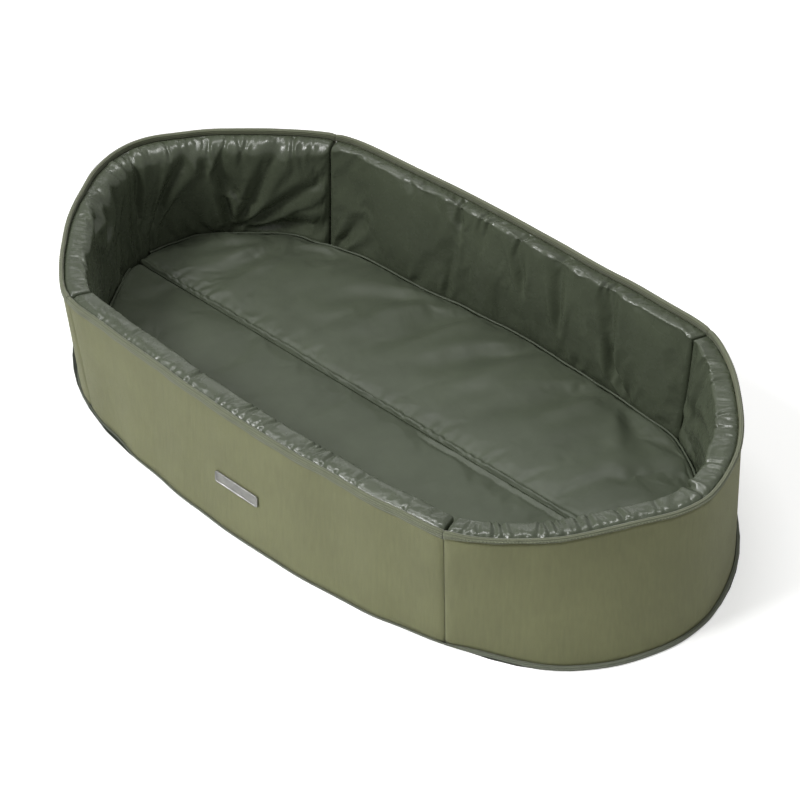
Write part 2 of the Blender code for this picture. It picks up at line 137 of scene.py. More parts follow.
# Edges as the photograph shows them, in its own pixels, each from end to end of what is seen of it: the rim's
# outer edge round the back, the lower edge of its tape round the front, the outer edge of the foot, and the
# line where the lining meets the floor.
RIM_EDGE = (
    (744, 430), (742, 400), (736, 371), (723, 344), (712, 329), (694, 317), (650, 291), (596, 262), (552, 237),
    (512, 215), (472, 194), (429, 173), (388, 153), (359, 140), (339, 134), (317, 131), (295, 129), (248, 128),
    (194, 130), (136, 140), (100, 162), (77, 195), (63, 233), (59, 262),
)
TAPE_EDGE = (
    (69, 306), (91, 323), (116, 342), (150, 366), (190, 395), (231, 423), (289, 459), (340, 487), (366, 503),
    (409, 523), (431, 535), (447, 540), (480, 543), (518, 544), (557, 543), (599, 535), (650, 523), (686, 514),
    (707, 502), (721, 489),
)
FOOT_EDGE = (
    (740, 549), (737, 570), (726, 597), (703, 625), (671, 648), (641, 662), (602, 670), (562, 672), (524, 667),
    (488, 656), (458, 647), (430, 638), (397, 627), (360, 610), (321, 590), (277, 564), (232, 535), (183, 499),
    (143, 465), (109, 431), (89, 403), (76, 380),
)
FLOOR_LINE = (
    (699, 476), (685, 452), (665, 429), (644, 414), (617, 394), (575, 367), (527, 337), (472, 309), (426, 289),
    (380, 264), (332, 246), (277, 232), (236, 228), (203, 230), (171, 245), (142, 257),
)
LINE_HEIGHT = HINGE_HEIGHT - 0.003
FRONT_TAPE_HEIGHT = WALL_HEIGHT - OUTER_LEG
END_TAPE_HEIGHT = FRONT_TAPE_HEIGHT + END_LEG_LOSS
FRONT_SEAM_PIXEL = 450
FOOT_LIFT = 0.003
FOOT_TAPE_WIDTH = 0.0046
FOOT_TAPE_HEIGHT = 0.0056
FOOT_FLARE = 0.010
EDGE_BLUR = 0.044
FAR_WEIGHT = 0.02


# How the foot's tape and the liner's roll change round the oval.
RIGHT_START = 0.25
RIGHT_SPAN = 0.35
LEFT_START = 0.20
LEFT_SPAN = 0.40
FAR_TURN = 0.30
FOOT_TAPE_SHARE = 0.45

# The wall's inner face, drawn to where the lining meets the floor.
PULL_POWER = 1.5
PULL_LIMITS = (-0.006, 0.020)

# The liner of one length of wall: how its rows crowd towards the tape, how its top falls, its shape where it is
# sewn at its ends, and how loose and how full it is.
ROW_CROWDING = 1.8
FALL_POWER = 0.8
TUCK_POWER = 1.3
TUCK_FALL = 0.8
PAD_RIPPLE = (0.22, 0.05)
PAD_SEWN_TOP = 0.003
PAD_SEWN_END = 0.008
PAD_MOVE = (-0.010, 0.0045)
PAD_GROWTH = {"front": 0.006, "right": 0.008, "rear": 0.010, "left": 0.020}
PAD_PRESSURE = 0.6
PAD_SETTLE = 0.0035
CLOTH = {
    "quality": 5,
    "mass": 0.25,
    "tension_stiffness": 25,
    "compression_stiffness": 25,
    "bending_stiffness": 0.35,
}
SETTLE_FRAMES = 16

# The woven shell: its waves, the tuck at its seams and the groove under the tape.
SHELL_WAVE = 0.0009
SHELL_RIPPLE = (0.34, 0.11)
SHELL_TUCK = 0.0016
SHELL_EDGE = 0.0035
SHELL_THICKNESS = 0.9 * FABRIC
SHELL_GROOVE = (0.0004, 0.0030)

# The binding tapes' sections.
TAPE_ROUND = 0.0022
TAPE_WAVER = 0.0016
TAPE_SAG = 0.0012
TAPE_BEVEL = 0.0002
FOOT_BOW = 0.55
FOOT_LIFT_POWER = 0.60

# Floor cushions and the welt along their wall side.
FLOOR_SIDE_GAP = 0.0015
CENTRE_GAP = 0.0018
WELT_DIAMETER = 0.005
WELT_SEAT = 0.0016
WELT_END_GAP = 0.028
SPINE_SHARE = 0.62
SPINE_ACROSS_SHARE = 0.48
CUSHION_STEP = 0.0048
CUSHION_RINGS = 26
ROLL_STEPS = 7
SEAM_ROLL = 0.0035

WELT_SHOWN = 0.62
WELT_DROP = 0.0022
WELT_WAVER = 0.0006
CUSHION_BOTTOM_SHARES = (1.0, 0.55, 0.15)
CUSHION_PRESSURE = 0.35
CUSHION_GROWTH = 0.008
CUSHION_SETTLE = 0.0018
CUSHION_MOVE = (-0.006, 0.004)
# The front cushion is flatter than the rear one.
FRONT_CALM = 0.45
FRONT_FOLD_SHARE = 0.35

# Bead and groove of the edge sewn down along the centre seam. The front cushion has them only towards the
# right end. Fold room is the steepest rise away from the seam that keeps the cushions clear of each other when
# the mat is folded.
BEAD_HEIGHT = 0.0030
BEAD_PLACE = 0.0046
BEAD_WIDTH = 0.0026
BEAD_START = 0.045
FOLD_ROOM = 0.58

# Widths and depths of the fabric's folds.
GATHER_WIDTH = 0.0034
GATHER_DEPTH = 0.0021
SOFT_FOLD_WIDTH = 0.0075
SOFT_FOLD_DEPTH = 0.0075
TIP_FOLD_WIDTH = 0.007
TIP_FOLD_DEPTH = 0.005
RIPPLE_DEPTH = 0.0011
FLOOR_FOLD_DEPTH = 0.0066
FLOOR_FOLD_WIDTH = 0.014
# The floor's long shallow creases lie along one slanting direction, over a gentler unevenness.
STREAK_WAY = (0.42, 0.91)
STREAK_DEPTH = 0.0036
FLOOR_UNEVENNESS = 0.0010
# Distance from one random gather to the next along each length: longer ones, then small ones beside the tape.
GATHER_SPACING = {"rear": 0.050, "left": 0.020, "front": 0.050, "right": 0.020}
SMALL_SPACING = {"rear": 0.014, "left": 0.014, "front": 0.060, "right": 0.026}

# Folds of the liner, from end to end, as the photograph shows them in its own pixels.
WALL_FOLDS = {
    "left": (
        ((127, 156), (139, 218)), ((190, 155), (156, 222)), ((203, 149), (203, 173)), ((217, 154), (231, 224)),
        ((229, 183), (238, 196)), ((279, 148), (237, 226)), ((315, 183), (239, 227)), ((320, 226), (252, 229)),
        ((97, 203), (95, 229)), ((106, 203), (106, 245)), ((115, 197), (117, 240)),
    ),
    "rear": (
        ((360, 223), (338, 245)), ((458, 208), (459, 232)), ((520, 240), (524, 290)), ((563, 262), (560, 330)),
        ((612, 296), (612, 378)), ((598, 338), (625, 398)),
    ),
    "right": (
        ((688, 352), (668, 398)), ((705, 372), (690, 432)), ((690, 412), (702, 465)), ((682, 420), (693, 452)),
    ),
    "front": (),
}
# Tight pinches across the wall's top, where the photograph shows them, as pixels on its inner edge.
PINCHES = {
    "left": ((129, 157), (168, 152), (208, 144), (225, 145), (240, 142), (246, 142), (293, 142)),
    "rear": ((459, 207), (482, 219), (489, 222), (521, 238), (604, 286), (610, 289)),
    "right": (
        (715, 358), (722, 371), (716, 381), (724, 415), (726, 427), (715, 465), (706, 492), (711, 496), (540, 528),
        (546, 528), (556, 527), (561, 526), (578, 522), (592, 520), (619, 513), (493, 528), (500, 529),
    ),
    "front": ((194, 374), (250, 407), (256, 410), (276, 422), (312, 445), (318, 448), (324, 451), (331, 455)),
}
FLOOR_FOLDS = {
    "rear": (
        ((247, 243), (200, 251)), ((268, 254), (212, 274)), ((340, 256), (296, 259)), ((420, 299), (346, 299)),
        ((473, 310), (371, 338)), ((522, 351), (453, 365)), ((604, 384), (505, 409)), ((629, 412), (648, 462)),
    ),
    "front": (((170, 285), (150, 300)), ((250, 330), (238, 352))),
}
# Gathers along the rear side of the centre seam.
SEAM_PINCHES = (
    (172, 277), (179, 282), (186, 286), (192, 290), (199, 295), (207, 300), (250, 321), (388, 401), (405, 414),
    (423, 427), (432, 433), (444, 439), (463, 453), (470, 458), (478, 464),
)

# The plate on the front wall.
PLATE_CORNER = 0.0035
PLATE_BORDER = 0.0016
PLATE_RECESS = 0.0007
PLATE_EDGE = 0.0004
PLATE_THICKNESS = 0.0022
PLATE_SLOPE = 0.0004
PLATE_MIDDLE = (-0.0022, 0.0006, 0.0001)
CORNER_STEPS = 9

# Stitches.
STITCH_SHARE = 0.62
THREAD_WIDTH = 0.0009
ROW_STEP_ALONG = 0.006
STITCH_END = 0.004
UPPER_ROW = 0.0032
LOWER_ROW = 0.0026

# Roughness at its middle, shine and depth of the small creases of the coated fabrics.
WALL_FINISH = (0.26, 0.5, 0.00012)
FLOOR_FINISH = (0.46, 0.28, 0.00002)
TAPE_RIB = 0.0016

# The stage. A lamp has its name, place, target, sides in metres, power in watts, its beam's width in degrees
# and whether it lights dull surfaces too, or only shines on glossy ones.
FLOOR_COLOUR = "FCFCFB"
FLOOR_REACH = 14.0
FLOOR_GLOW = 0.50
WORLD_STRENGTH = 0.34
GLOSSY_WORLD_STRENGTH = 0.42
LAMPS = (
    ("Key", (-1.3, -2.7, 3.4), (0.3, 0.0, 0.05), (1.4, 1.1), 8.3, 45, True),
    ("Back", (-2.4, 2.9, 2.4), (0.0, 0.0, 0.1), (2.0, 0.4), 8.0, 180, True),
    ("Above", (-0.6, 0.3, 3.1), (0.0, 0.0, 0.1), (1.3, 0.5), 17.0, 180, True),
    ("Top glint", (-0.3, 0.7, 3.1), (0.0, 0.0, 0.1), (1.3, 0.5), 18.0, 180, False),
    ("Side glint", (-1.5, -0.5, 3.0), (0.0, 0.0, 0.1), (0.9, 0.6), 16.0, 180, False),
)


def linear(hex_colour):
    """An sRGB hex colour as linear red, green and blue."""
    shares = [int(hex_colour[k : k + 2], 16) / 255 for k in (0, 2, 4)]
    return [share / 12.92 if share <= 0.04045 else ((share + 0.055) / 1.055) ** 2.4 for share in shares]


class MatSizes(PropertyGroup):
    """Sizes of the walls and the floor"""

    wall_thickness: FloatProperty(
        name="Wall foam", description="Thickness of the wall's foam at its top", default=0.031, unit="LENGTH"
    )
    foot_extra: FloatProperty(
        name="Foot foam", description="How much thicker the foam is at its foot", default=0.005, unit="LENGTH"
    )
    wall_crown: FloatProperty(
        name="Wall crown", description="How far the wall's foam swells inward", default=0.007, unit="LENGTH"
    )
    foot_flare: FloatProperty(
        name="Foot flare", description="Share of the wall's lean outward that is kept", default=1.0, min=0.0, max=1.5
    )
    far_slim: FloatProperty(
        name="Thin top", description="How much thinner the rear and left walls are on top", default=0.005, unit="LENGTH"
    )
    floor_crown: FloatProperty(
        name="Floor crown", description="How far the floor cushions rise in their middle", default=0.007, unit="LENGTH"
    )
    floor_roll: FloatProperty(
        name="Floor roll", description="Radius of the floor cushions' rolled edges", default=0.010, unit="LENGTH"
    )
    fold_share: FloatProperty(
        name="Folds", description="Strength of the liner's gathers and folds", default=1.0, min=0.0, max=2.0
    )
    stitch_pitch: FloatProperty(
        name="Stitch pitch", description="Distance from one stitch to the next", default=0.0040, unit="LENGTH"
    )


def tone(name, description, hex_colour):
    """A colour setting with its default as an sRGB hex value."""
    return FloatVectorProperty(
        name=name, description=description, subtype="COLOR", min=0.0, max=1.0, default=linear(hex_colour)
    )


class MatColours(PropertyGroup):
    """Colours of the fabrics, tapes and plate"""

    shell: tone("Shell", "Woven outer fabric", "868860")
    liner: tone("Liner", "Coated fabric of the walls", "555C4B")
    floor: tone("Floor", "Coated fabric of the floor", "565D4D")
    tape: tone("Binding", "Ribbed tape of the rim", "777C62")
    foot: tone("Foot tape", "Tape round the foot", "757B69")
    thread: tone("Thread", "Stitches of the bindings", "8A9076")
    underside: tone("Underside", "Coated nylon underneath", "363B31")
    plate: tone("Plate", "Dull metal of the plate", "A9A9A7")


class MatStage(PropertyGroup):
    """Camera and light"""

    azimuth: FloatProperty(
        name="Azimuth", description="Direction of the camera round the mat", default=CAMERA_AZIMUTH, unit="ROTATION"
    )
    elevation: FloatProperty(
        name="Elevation", description="Camera's angle above the floor", default=CAMERA_ELEVATION, unit="ROTATION"
    )
    distance: FloatProperty(
        name="Distance", description="From the camera to its target", default=CAMERA_DISTANCE, unit="LENGTH"
    )
    lens: FloatProperty(
        name="Lens", description="Focal length in millimetres", default=LENS, unit="CAMERA"
    )
    target: FloatVectorProperty(
        name="Target", description="Point that the camera faces", default=CAMERA_TARGET, subtype="XYZ"
    )


def smooth_step(share):
    share = np.clip(share, 0, 1)
    return share * share * (3 - 2 * share)


def signed_power(value, power):
    return np.sign(value) * np.abs(value) ** power


def running_length(points):
    """Length along a row of points, from 0 at the first."""
    return np.concatenate([[0], np.cumsum(np.linalg.norm(np.diff(points, axis=0), axis=1))])


class PhotoView:
    """A camera as numbers, to read a place of the photograph on the mat."""

    def __init__(self, azimuth, elevation, distance, lens, target):
        level = math.cos(elevation)
        self.back = np.array([math.sin(azimuth) * level, -math.cos(azimuth) * level, math.sin(elevation)])
        self.right = np.array([math.cos(azimuth), math.sin(azimuth), 0.0])
        self.up = np.cross(self.back, self.right)
        self.eye = np.array(target) + self.back * distance
        self.scale = lens / SENSOR * PHOTO_SIZE

    def pixels(self, points):
        way = points - self.eye
        depth = -(way @ self.back)
        across = PHOTO_SIZE / 2 + self.scale * (way @ self.right) / depth
        down = PHOTO_SIZE / 2 - self.scale * (way @ self.up) / depth
        return np.stack([across, down], axis=-1)

    def on_level(self, pixel, height):
        """The point at that height under a pixel."""
        right, down = (np.array(pixel, float) - PHOTO_SIZE / 2) / self.scale
        ray = -self.back + self.right * right - self.up * down
        return (self.eye + ray * (height - self.eye[2]) / ray[2])[:2]


VIEW = PhotoView(CAMERA_AZIMUTH, CAMERA_ELEVATION, CAMERA_DISTANCE, LENS, CAMERA_TARGET)


class Oval:
    """The rim's outer outline by arc length, anticlockwise from the tip at +X."""

    def __init__(self):
        turn = np.linspace(0, 2 * math.pi, 4 * OVAL_SAMPLES + 1)
        plain = np.stack(
            [
                RIM_LENGTH / 2 * signed_power(np.cos(turn), 2 / LENGTH_POWER),
                RIM_WIDTH / 2 * signed_power(np.sin(turn), 2 / WIDTH_POWER),
            ],
            axis=1,
        )
        self.trace(plain)
        self.trace(self.points + self.normals * self.corner(self.arc)[:, None])
        seen = [VIEW.on_level(pixel, WALL_HEIGHT - 0.001) for pixel in RIM_EDGE]
        for pixel in TAPE_EDGE:
            front = pixel[0] < FRONT_SEAM_PIXEL
            seen.append(VIEW.on_level(pixel, FRONT_TAPE_HEIGHT if front else END_TAPE_HEIGHT))
        seen = np.array(seen) - (RIM_MIDDLE, 0)
        for _ in range(3):
            self.trace(self.points + self.normals * self.drift(seen, 0.0)[:, None])
        self.points[:, 0] += RIM_MIDDLE
        foot = np.array([VIEW.on_level(pixel, FOOT_LIFT) for pixel in FOOT_EDGE])
        self.foot = self.drift(foot, FOOT_FLARE) - FOOT_TAPE_WIDTH * self.foot_tape(self.arc)

    def drift(self, seen, far):
        """How far seen places lie outside the outline, spread along it; far from them it tends to a set value."""
        apart = seen[:, None] - self.points[None]
        nearest = np.argmin(np.linalg.norm(apart, axis=-1), axis=1)
        out = (apart[np.arange(len(seen)), nearest] * self.normals[nearest]).sum(axis=-1)
        away = np.abs(self.arc[:, None] - self.arc[nearest][None])
        away = np.minimum(away, self.total - away)
        weight = np.exp(-((away / EDGE_BLUR) ** 2))
        return (weight @ out + FAR_WEIGHT * far) / (weight.sum(axis=1) + FAR_WEIGHT)

    def right_end(self, arcs):
        """0 along the long walls and at the left, 1 round the right end."""
        return smooth_step((self.read(self.normals, arcs)[..., 0] - RIGHT_START) / RIGHT_SPAN)

    def far(self, arcs):
        """1 on the walls that the camera sees from inside, 0 on those that it sees from outside."""
        toward = self.read(self.normals, arcs) @ VIEW.back[:2] / np.linalg.norm(VIEW.back[:2])
        return smooth_step((FAR_TURN - toward) / (2 * FAR_TURN))

    def roll(self, arcs):
        """The five sizes of the liner's roll."""
        far = self.far(arcs)
        left = smooth_step((-self.read(self.normals, arcs)[..., 0] - LEFT_START) / LEFT_SPAN)
        away = [rear + (at_left - rear) * left for rear, at_left in zip(REAR_ROLL, LEFT_ROLL)]
        return [near + (size - near) * far for near, size in zip(NEAR_ROLL, away)]

    def foot_tape(self, arcs):
        """Size of the foot's tape: it is drawn under the wall except round the right end."""
        return FOOT_TAPE_SHARE + (1 - FOOT_TAPE_SHARE) * self.right_end(arcs)

    def corner(self, arc):
        """How far the rim stands out from the plain oval at its four seams."""
        quarter = self.total / 4
        from_tip = np.abs((arc + quarter) % (2 * quarter) - quarter)
        return SEAM_CORNER * np.exp(-(((from_tip - self.cuts[1]) / CORNER_REACH) ** 2))

    def trace(self, points):
        """Reads an outline at even steps, with its outward normals and its cuts."""
        length = running_length(points)
        self.total = length[-1]
        self.arc = np.linspace(0, self.total, OVAL_SAMPLES + 1)
        self.points = np.stack([np.interp(self.arc, length, points[:, k]) for k in (0, 1)], axis=1)
        ahead = np.roll(self.points[:-1], -1, axis=0) - np.roll(self.points[:-1], 1, axis=0)
        normals = np.stack([ahead[:, 1], -ahead[:, 0]], axis=1)
        normals = sum(np.roll(normals, step, axis=0) for step in range(-NORMAL_REACH, NORMAL_REACH + 1))
        normals /= np.linalg.norm(normals, axis=1)[:, None]
        self.normals = np.concatenate([normals, normals[:1]])
        quarter = slice(0, OVAL_SAMPLES // 4)
        first = np.interp(-SEAM_SPACING / 2, -self.points[quarter, 0], self.arc[quarter])
        half = self.total / 2
        self.cuts = np.array([0, first, half - first, half, half + first, self.total - first, self.total])

    def read(self, table, arcs):
        wrapped = np.mod(arcs, self.total)
        return np.stack([np.interp(wrapped, self.arc, table[:, k]) for k in (0, 1)], axis=-1)

    def stretch(self, arcs):
        """(number, share of the way along) of the stretch between seams and tips that holds each arc length."""
        wrapped = np.mod(arcs, self.total)
        number = np.clip(np.searchsorted(self.cuts, wrapped, side="right") - 1, 0, 5)
        start, end = self.cuts[number], self.cuts[number + 1]
        return number, (wrapped - start) / (end - start)


OVAL = Oval()
RIGHT_TIP, REAR_RIGHT, REAR_LEFT, LEFT_TIP, FRONT_LEFT, FRONT_RIGHT, ROUND = OVAL.cuts
# Start and end of each of the wall's four lengths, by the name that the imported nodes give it.
LENGTHS = {
    "rear": (REAR_RIGHT, REAR_LEFT),
    "left": (REAR_LEFT, FRONT_LEFT),
    "front": (FRONT_LEFT, FRONT_RIGHT),
    "right": (FRONT_RIGHT, ROUND + REAR_RIGHT),
}
ENDS = ("left", "right")


class Wall:
    """The wall's faces: they turn arc lengths and heights into depths, and all three into points."""

    def __init__(self, sizes):
        self.sizes = sizes
        self.pull = np.zeros(len(OVAL.arc))
        level = np.full(len(OVAL.arc), LINE_HEIGHT)
        plain = self.inner(OVAL.arc, level)
        front = plain[OVAL.arc > OVAL.total / 2].mean()
        seen = np.array([VIEW.on_level(pixel, LINE_HEIGHT) for pixel in FLOOR_LINE])
        low = 1 - (LINE_HEIGHT - SHELL_BOTTOM) / (PAD_TOP - SHELL_BOTTOM)
        self.pull = np.clip((plain + OVAL.drift(seen, -front)) / low**PULL_POWER, *PULL_LIMITS)

    def flare(self, arcs):
        """How far the foot stands outside the rim."""
        return self.sizes.foot_flare * np.interp(np.mod(arcs, OVAL.total), OVAL.arc, OVAL.foot)

    def outer(self, arcs, heights):
        """Depth of the shell's outer face."""
        return SHELL_DEPTH - self.flare(arcs) * (1 - np.minimum(heights / FLARE_TOP, 1))

    def inner(self, arcs, heights):
        """Depth of the liner's inner face, with the foam's crown."""
        sizes = self.sizes
        share = OVAL.stretch(arcs)[1]
        up = np.clip((heights - SHELL_BOTTOM) / (PAD_TOP - SHELL_BOTTOM), 0, 1)
        swell = 4 * up * (1 - up) * sizes.wall_crown * (1 - (2 * share - 1) ** 4)
        pull = np.interp(np.mod(arcs, OVAL.total), OVAL.arc, self.pull) * (1 - up) ** PULL_POWER
        foam = sizes.wall_thickness + sizes.foot_extra * (1 - up) + swell - pull
        foam = foam - sizes.far_slim * OVAL.far(arcs) * up
        return self.outer(arcs, heights) + PAD_DEPTH - SHELL_DEPTH + foam + LAYER_GAP + FABRIC

    def floor_edge(self, arcs):
        """Depth of the liner's face where the floor cushion lies against it."""
        heights = (SHELL_BOTTOM, HINGE_HEIGHT, HINGE_HEIGHT + WELT_DIAMETER)
        return np.max([self.inner(arcs, height) for height in heights], axis=0)

    def place(self, arcs, depths, heights):
        arcs, depths, heights = np.broadcast_arrays(arcs, depths, heights)
        flat = OVAL.read(OVAL.points, arcs) - OVAL.read(OVAL.normals, arcs) * depths[..., None]
        return np.concatenate([flat, heights[..., None]], axis=-1)


def ripple(places, seed, longest, shortest, count=9):
    """Gentle unevenness between -1 and 1 over flat places, as the sum of a few seeded waves."""
    chance = np.random.default_rng(seed)
    total = np.zeros(places.shape[:-1])
    for _ in range(count):
        turn = chance.uniform(0, 2 * math.pi)
        wave = 2 * math.pi / chance.uniform(shortest, longest)
        phase = chance.uniform(0, 2 * math.pi)
        total += np.sin(wave * (places[..., 0] * math.cos(turn) + places[..., 1] * math.sin(turn)) + phase)
    return total / count


def waver(arcs, seed, longest, shortest):
    """Unevenness along a seam, between -1 and 1."""
    return ripple(np.stack([arcs, arcs * 0], axis=-1), seed, longest, shortest)


def folds(places, creases):
    """Displacement of creases: each is a valley between two soft ridges that widens and fades towards its end."""
    total = np.zeros(places.shape[:-1])
    for start, end, depth, width, fade in creases:
        start = np.array(start, float)
        run = np.array(end, float) - start
        length = max(np.linalg.norm(run), 1e-6)
        way = run / length
        offset = places - start
        along = offset @ way / length
        aside = offset[..., 0] * -way[1] + offset[..., 1] * way[0]
        share = np.clip(along, 0, 1)
        beyond = np.maximum(np.maximum(-along, along - 1), 0) * length
        spread = width * (0.7 + 0.9 * share)
        reach = np.hypot(aside, beyond * 0.6) / spread
        strength = (0.45 + 0.55 * smooth_step(share / 0.25)) * (1 - fade * smooth_step(share))
        valley = np.exp(-(reach**2))
        ridge = np.exp(-(((reach - 1.9) / 0.85) ** 2)) * np.exp(-((beyond / spread) ** 2))
        total += depth * strength * (0.42 * ridge - valley)
    return total


def grid_normals(points):
    """Unit normals of a closed-row grid, from its columns' and rows' directions."""
    along = np.gradient(points, axis=0)
    round_ = (np.roll(points, -1, axis=1) - np.roll(points, 1, axis=1)) / 2
    normals = np.cross(round_, along)
    return normals / np.maximum(np.linalg.norm(normals, axis=-1), 1e-9)[..., None]


def new_mesh_object(name, points, faces, uvs=None, look=None, edges=()):
    """A smooth mesh object; uvs holds one pair for each face's corner, in the order of the faces."""
    mesh = bpy.data.meshes.new(name)
    mesh.from_pydata(points.tolist(), edges, faces)
    if uvs is not None:
        layer = mesh.uv_layers.new(name="fabric")
        layer.data.foreach_set("uv", np.asarray(uvs, np.float32).ravel())
    mesh.shade_smooth()
    if look:
        mesh.materials.append(look)
    obj = bpy.data.objects.new(name, mesh)
    bpy.context.scene.collection.objects.link(obj)
    return obj


def tube_faces(rings, size):
    """Quads between neighbouring rings of points, each ring closed."""
    faces = []
    for start in range(0, (rings - 1) * size, size):
        for j in range(size):
            after = (j + 1) % size
            faces.append((start + j, start + after, start + size + after, start + size + j))
    return faces


def loft(name, points, across, look):
    """A closed tube of fabric from a grid of points (columns, rows), with flat caps at both ends.

    Its UV map is in metres: across holds the length round the first column, and the columns' own steps give
    the length along.
    """
    columns, rows = points.shape[:2]
    along = running_length(points[:, 0])
    around = np.append(across, across[-1] + np.linalg.norm(points[0, 0] - points[0, -1]))
    faces, uvs = tube_faces(columns, rows), []
    for i in range(columns - 1):
        for j in range(rows):
            uvs += [(along[i], around[j]), (along[i], around[j + 1])]
            uvs += [(along[i + 1], around[j + 1]), (along[i + 1], around[j])]
    first = list(range(rows))[::-1]
    last = [(columns - 1) * rows + j for j in range(rows)]
    for cap, start in ((first, along[0]), (last, along[-1])):
        faces.append(tuple(cap))
        uvs += [(start, around[j % rows]) for j in cap]
    obj = new_mesh_object(name, points.reshape(-1, 3), faces, uvs, look)
    face_outward(obj)
    return obj


def face_outward(obj, closed=()):
    """Turns the faces outward, once the given rings of points are joined where they meet."""
    body = bmesh.new()
    body.from_mesh(obj.data)
    points = list(body.verts)
    for ring in closed:
        bmesh.ops.remove_doubles(body, verts=points[ring], dist=1e-5)
    bmesh.ops.recalc_face_normals(body, faces=body.faces)
    body.to_mesh(obj.data)
    body.free()


def mesh_points(obj):
    points = np.empty(len(obj.data.vertices) * 3)
    obj.data.vertices.foreach_get("co", points)
    return points.reshape(-1, 3)


def set_mesh_points(obj, points):
    obj.data.vertices.foreach_set("co", points.ravel())
    obj.data.update()


def settle(piece, free, growth, pressure, most):
    """Lets loose fabric find its own small wrinkles: the free points move by at most a set distance."""
    before = mesh_points(piece)
    pinned = [k for k in range(len(before)) if not free[k]]
    piece.vertex_groups.new(name="sewn").add(pinned, 1.0, "REPLACE")
    cloth = piece.modifiers.new("Settle", "CLOTH")
    for name, value in CLOTH.items():
        setattr(cloth.settings, name, value)
    cloth.settings.vertex_group_mass = "sewn"
    cloth.settings.use_pressure = True
    cloth.settings.uniform_pressure_force = pressure
    cloth.settings.shrink_min = -growth
    cloth.settings.effector_weights.gravity = 0.0
    scene = bpy.context.scene
    for step in range(1, SETTLE_FRAMES + 1):
        scene.frame_set(step)
    move = mesh_points(piece.evaluated_get(bpy.context.evaluated_depsgraph_get())) - before
    length = np.linalg.norm(move, axis=1)
    move *= (np.minimum(length, most) / np.maximum(length, 1e-9))[:, None]
    piece.modifiers.remove(cloth)
    piece.vertex_groups.clear()
    set_mesh_points(piece, before + move)
    scene.frame_set(1)


def subdivide(piece):
    modifier = piece.modifiers.new("Smooth", "SUBSURF")
    modifier.levels = modifier.render_levels = 1
    modifier.uv_smooth = "NONE"
    bake(piece)


def bevel(piece, width, segments, angle):
    modifier = piece.modifiers.new("Edge", "BEVEL")
    modifier.width = width
    modifier.segments = segments
    modifier.limit_method = "ANGLE"
    modifier.angle_limit = math.radians(angle)
    bake(piece)


def bake(piece):
    """Replaces the piece's mesh by the one that its modifiers make."""
    graph = bpy.context.evaluated_depsgraph_get()
    made = bpy.data.meshes.new_from_object(piece.evaluated_get(graph), depsgraph=graph)
    piece.modifiers.clear()
    old = piece.data
    piece.data = made
    made.name = piece.name
    if old.users == 0:
        bpy.data.meshes.remove(old)


def length_arcs(start, end, step=COLUMN_STEP):
    """Arc lengths along one sewn length of the wall, held back from its seams by half a join's gap."""
    count = max(int(round((end - start) / step)), 2)
    return np.linspace(start + JOIN_GAP / 2, end - JOIN_GAP / 2, count + 1)


def from_ends(arcs):
    """Distance of each column of a length from its nearer end."""
    return np.minimum(arcs - arcs[0], arcs[-1] - arcs)[:, None]


def attach(piece, side):
    """A long wall's piece rides on its half; an end wall's piece is left on neither half, with its place baked into its
    mesh.
    """
    if side in ENDS:
        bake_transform(piece)
    else:
        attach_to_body(piece, REAR if side == "rear" else FRONT)


def pad_grid(wall, arcs):
    """(points, running length of each row) of a wall's foam in its coated liner."""
    column = arcs[:, None]
    leg, rise, reach, fall, radius = OVAL.roll(column)
    groove = WALL_HEIGHT - leg - GROOVE_GAP
    hidden = SHELL_BOTTOM + (groove - SHELL_BOTTOM) * np.linspace(0, 1, HIDDEN_ROWS)
    depth_rows = [wall.outer(column, hidden) + PAD_DEPTH - SHELL_DEPTH]
    height_rows = [hidden]
    turn_height = groove + rise - fall - radius
    inner_top = wall.inner(column, turn_height)
    shares = np.linspace(0, 1, TOP_ROWS + 1)[None, :] ** ROW_CROWDING
    depths = GROOVE_DEPTH + (inner_top - radius - GROOVE_DEPTH) * shares
    step = rise * (1 - np.exp(-(depths - GROOVE_DEPTH) / reach))
    depth_rows.append(depths)
    height_rows.append(groove + step - fall * shares**FALL_POWER)
    turns = np.linspace(0, math.pi / 2, EDGE_ROWS + 1)[None, 1:]
    depth_rows.append(inner_top - radius * (1 - np.sin(turns)))
    height_rows.append(turn_height + radius * np.cos(turns))
    count = int(round((PAD_TOP - SHELL_BOTTOM) / ROW_STEP))
    down = turn_height + (SHELL_BOTTOM - turn_height) * np.linspace(0, 1, count + 1)[1:]
    depth_rows.append(wall.inner(column, down))
    height_rows.append(down)
    depths = np.concatenate(depth_rows, axis=1)
    heights = np.concatenate(height_rows, axis=1)
    tuck = SEAM_TUCK * np.exp(-((from_ends(arcs) / SEAM_TUCK_REACH) ** TUCK_POWER))
    top_share = np.clip((heights - turn_height) / radius, 0, 1)
    shown = np.arange(depths.shape[1])[None, :] >= HIDDEN_ROWS
    depths = np.where(shown, depths - tuck * (1 - top_share), depths)
    heights = np.where(shown, heights - tuck * TUCK_FALL * top_share, heights)
    points = wall.place(column, depths, heights)
    return points, running_length(points[len(arcs) // 2])


def hash_share(value):
    """A number from 0 to 1 that looks random but follows from the value alone."""
    return math.modf(abs(math.sin(value * 127.1) * 43758.5))[0]


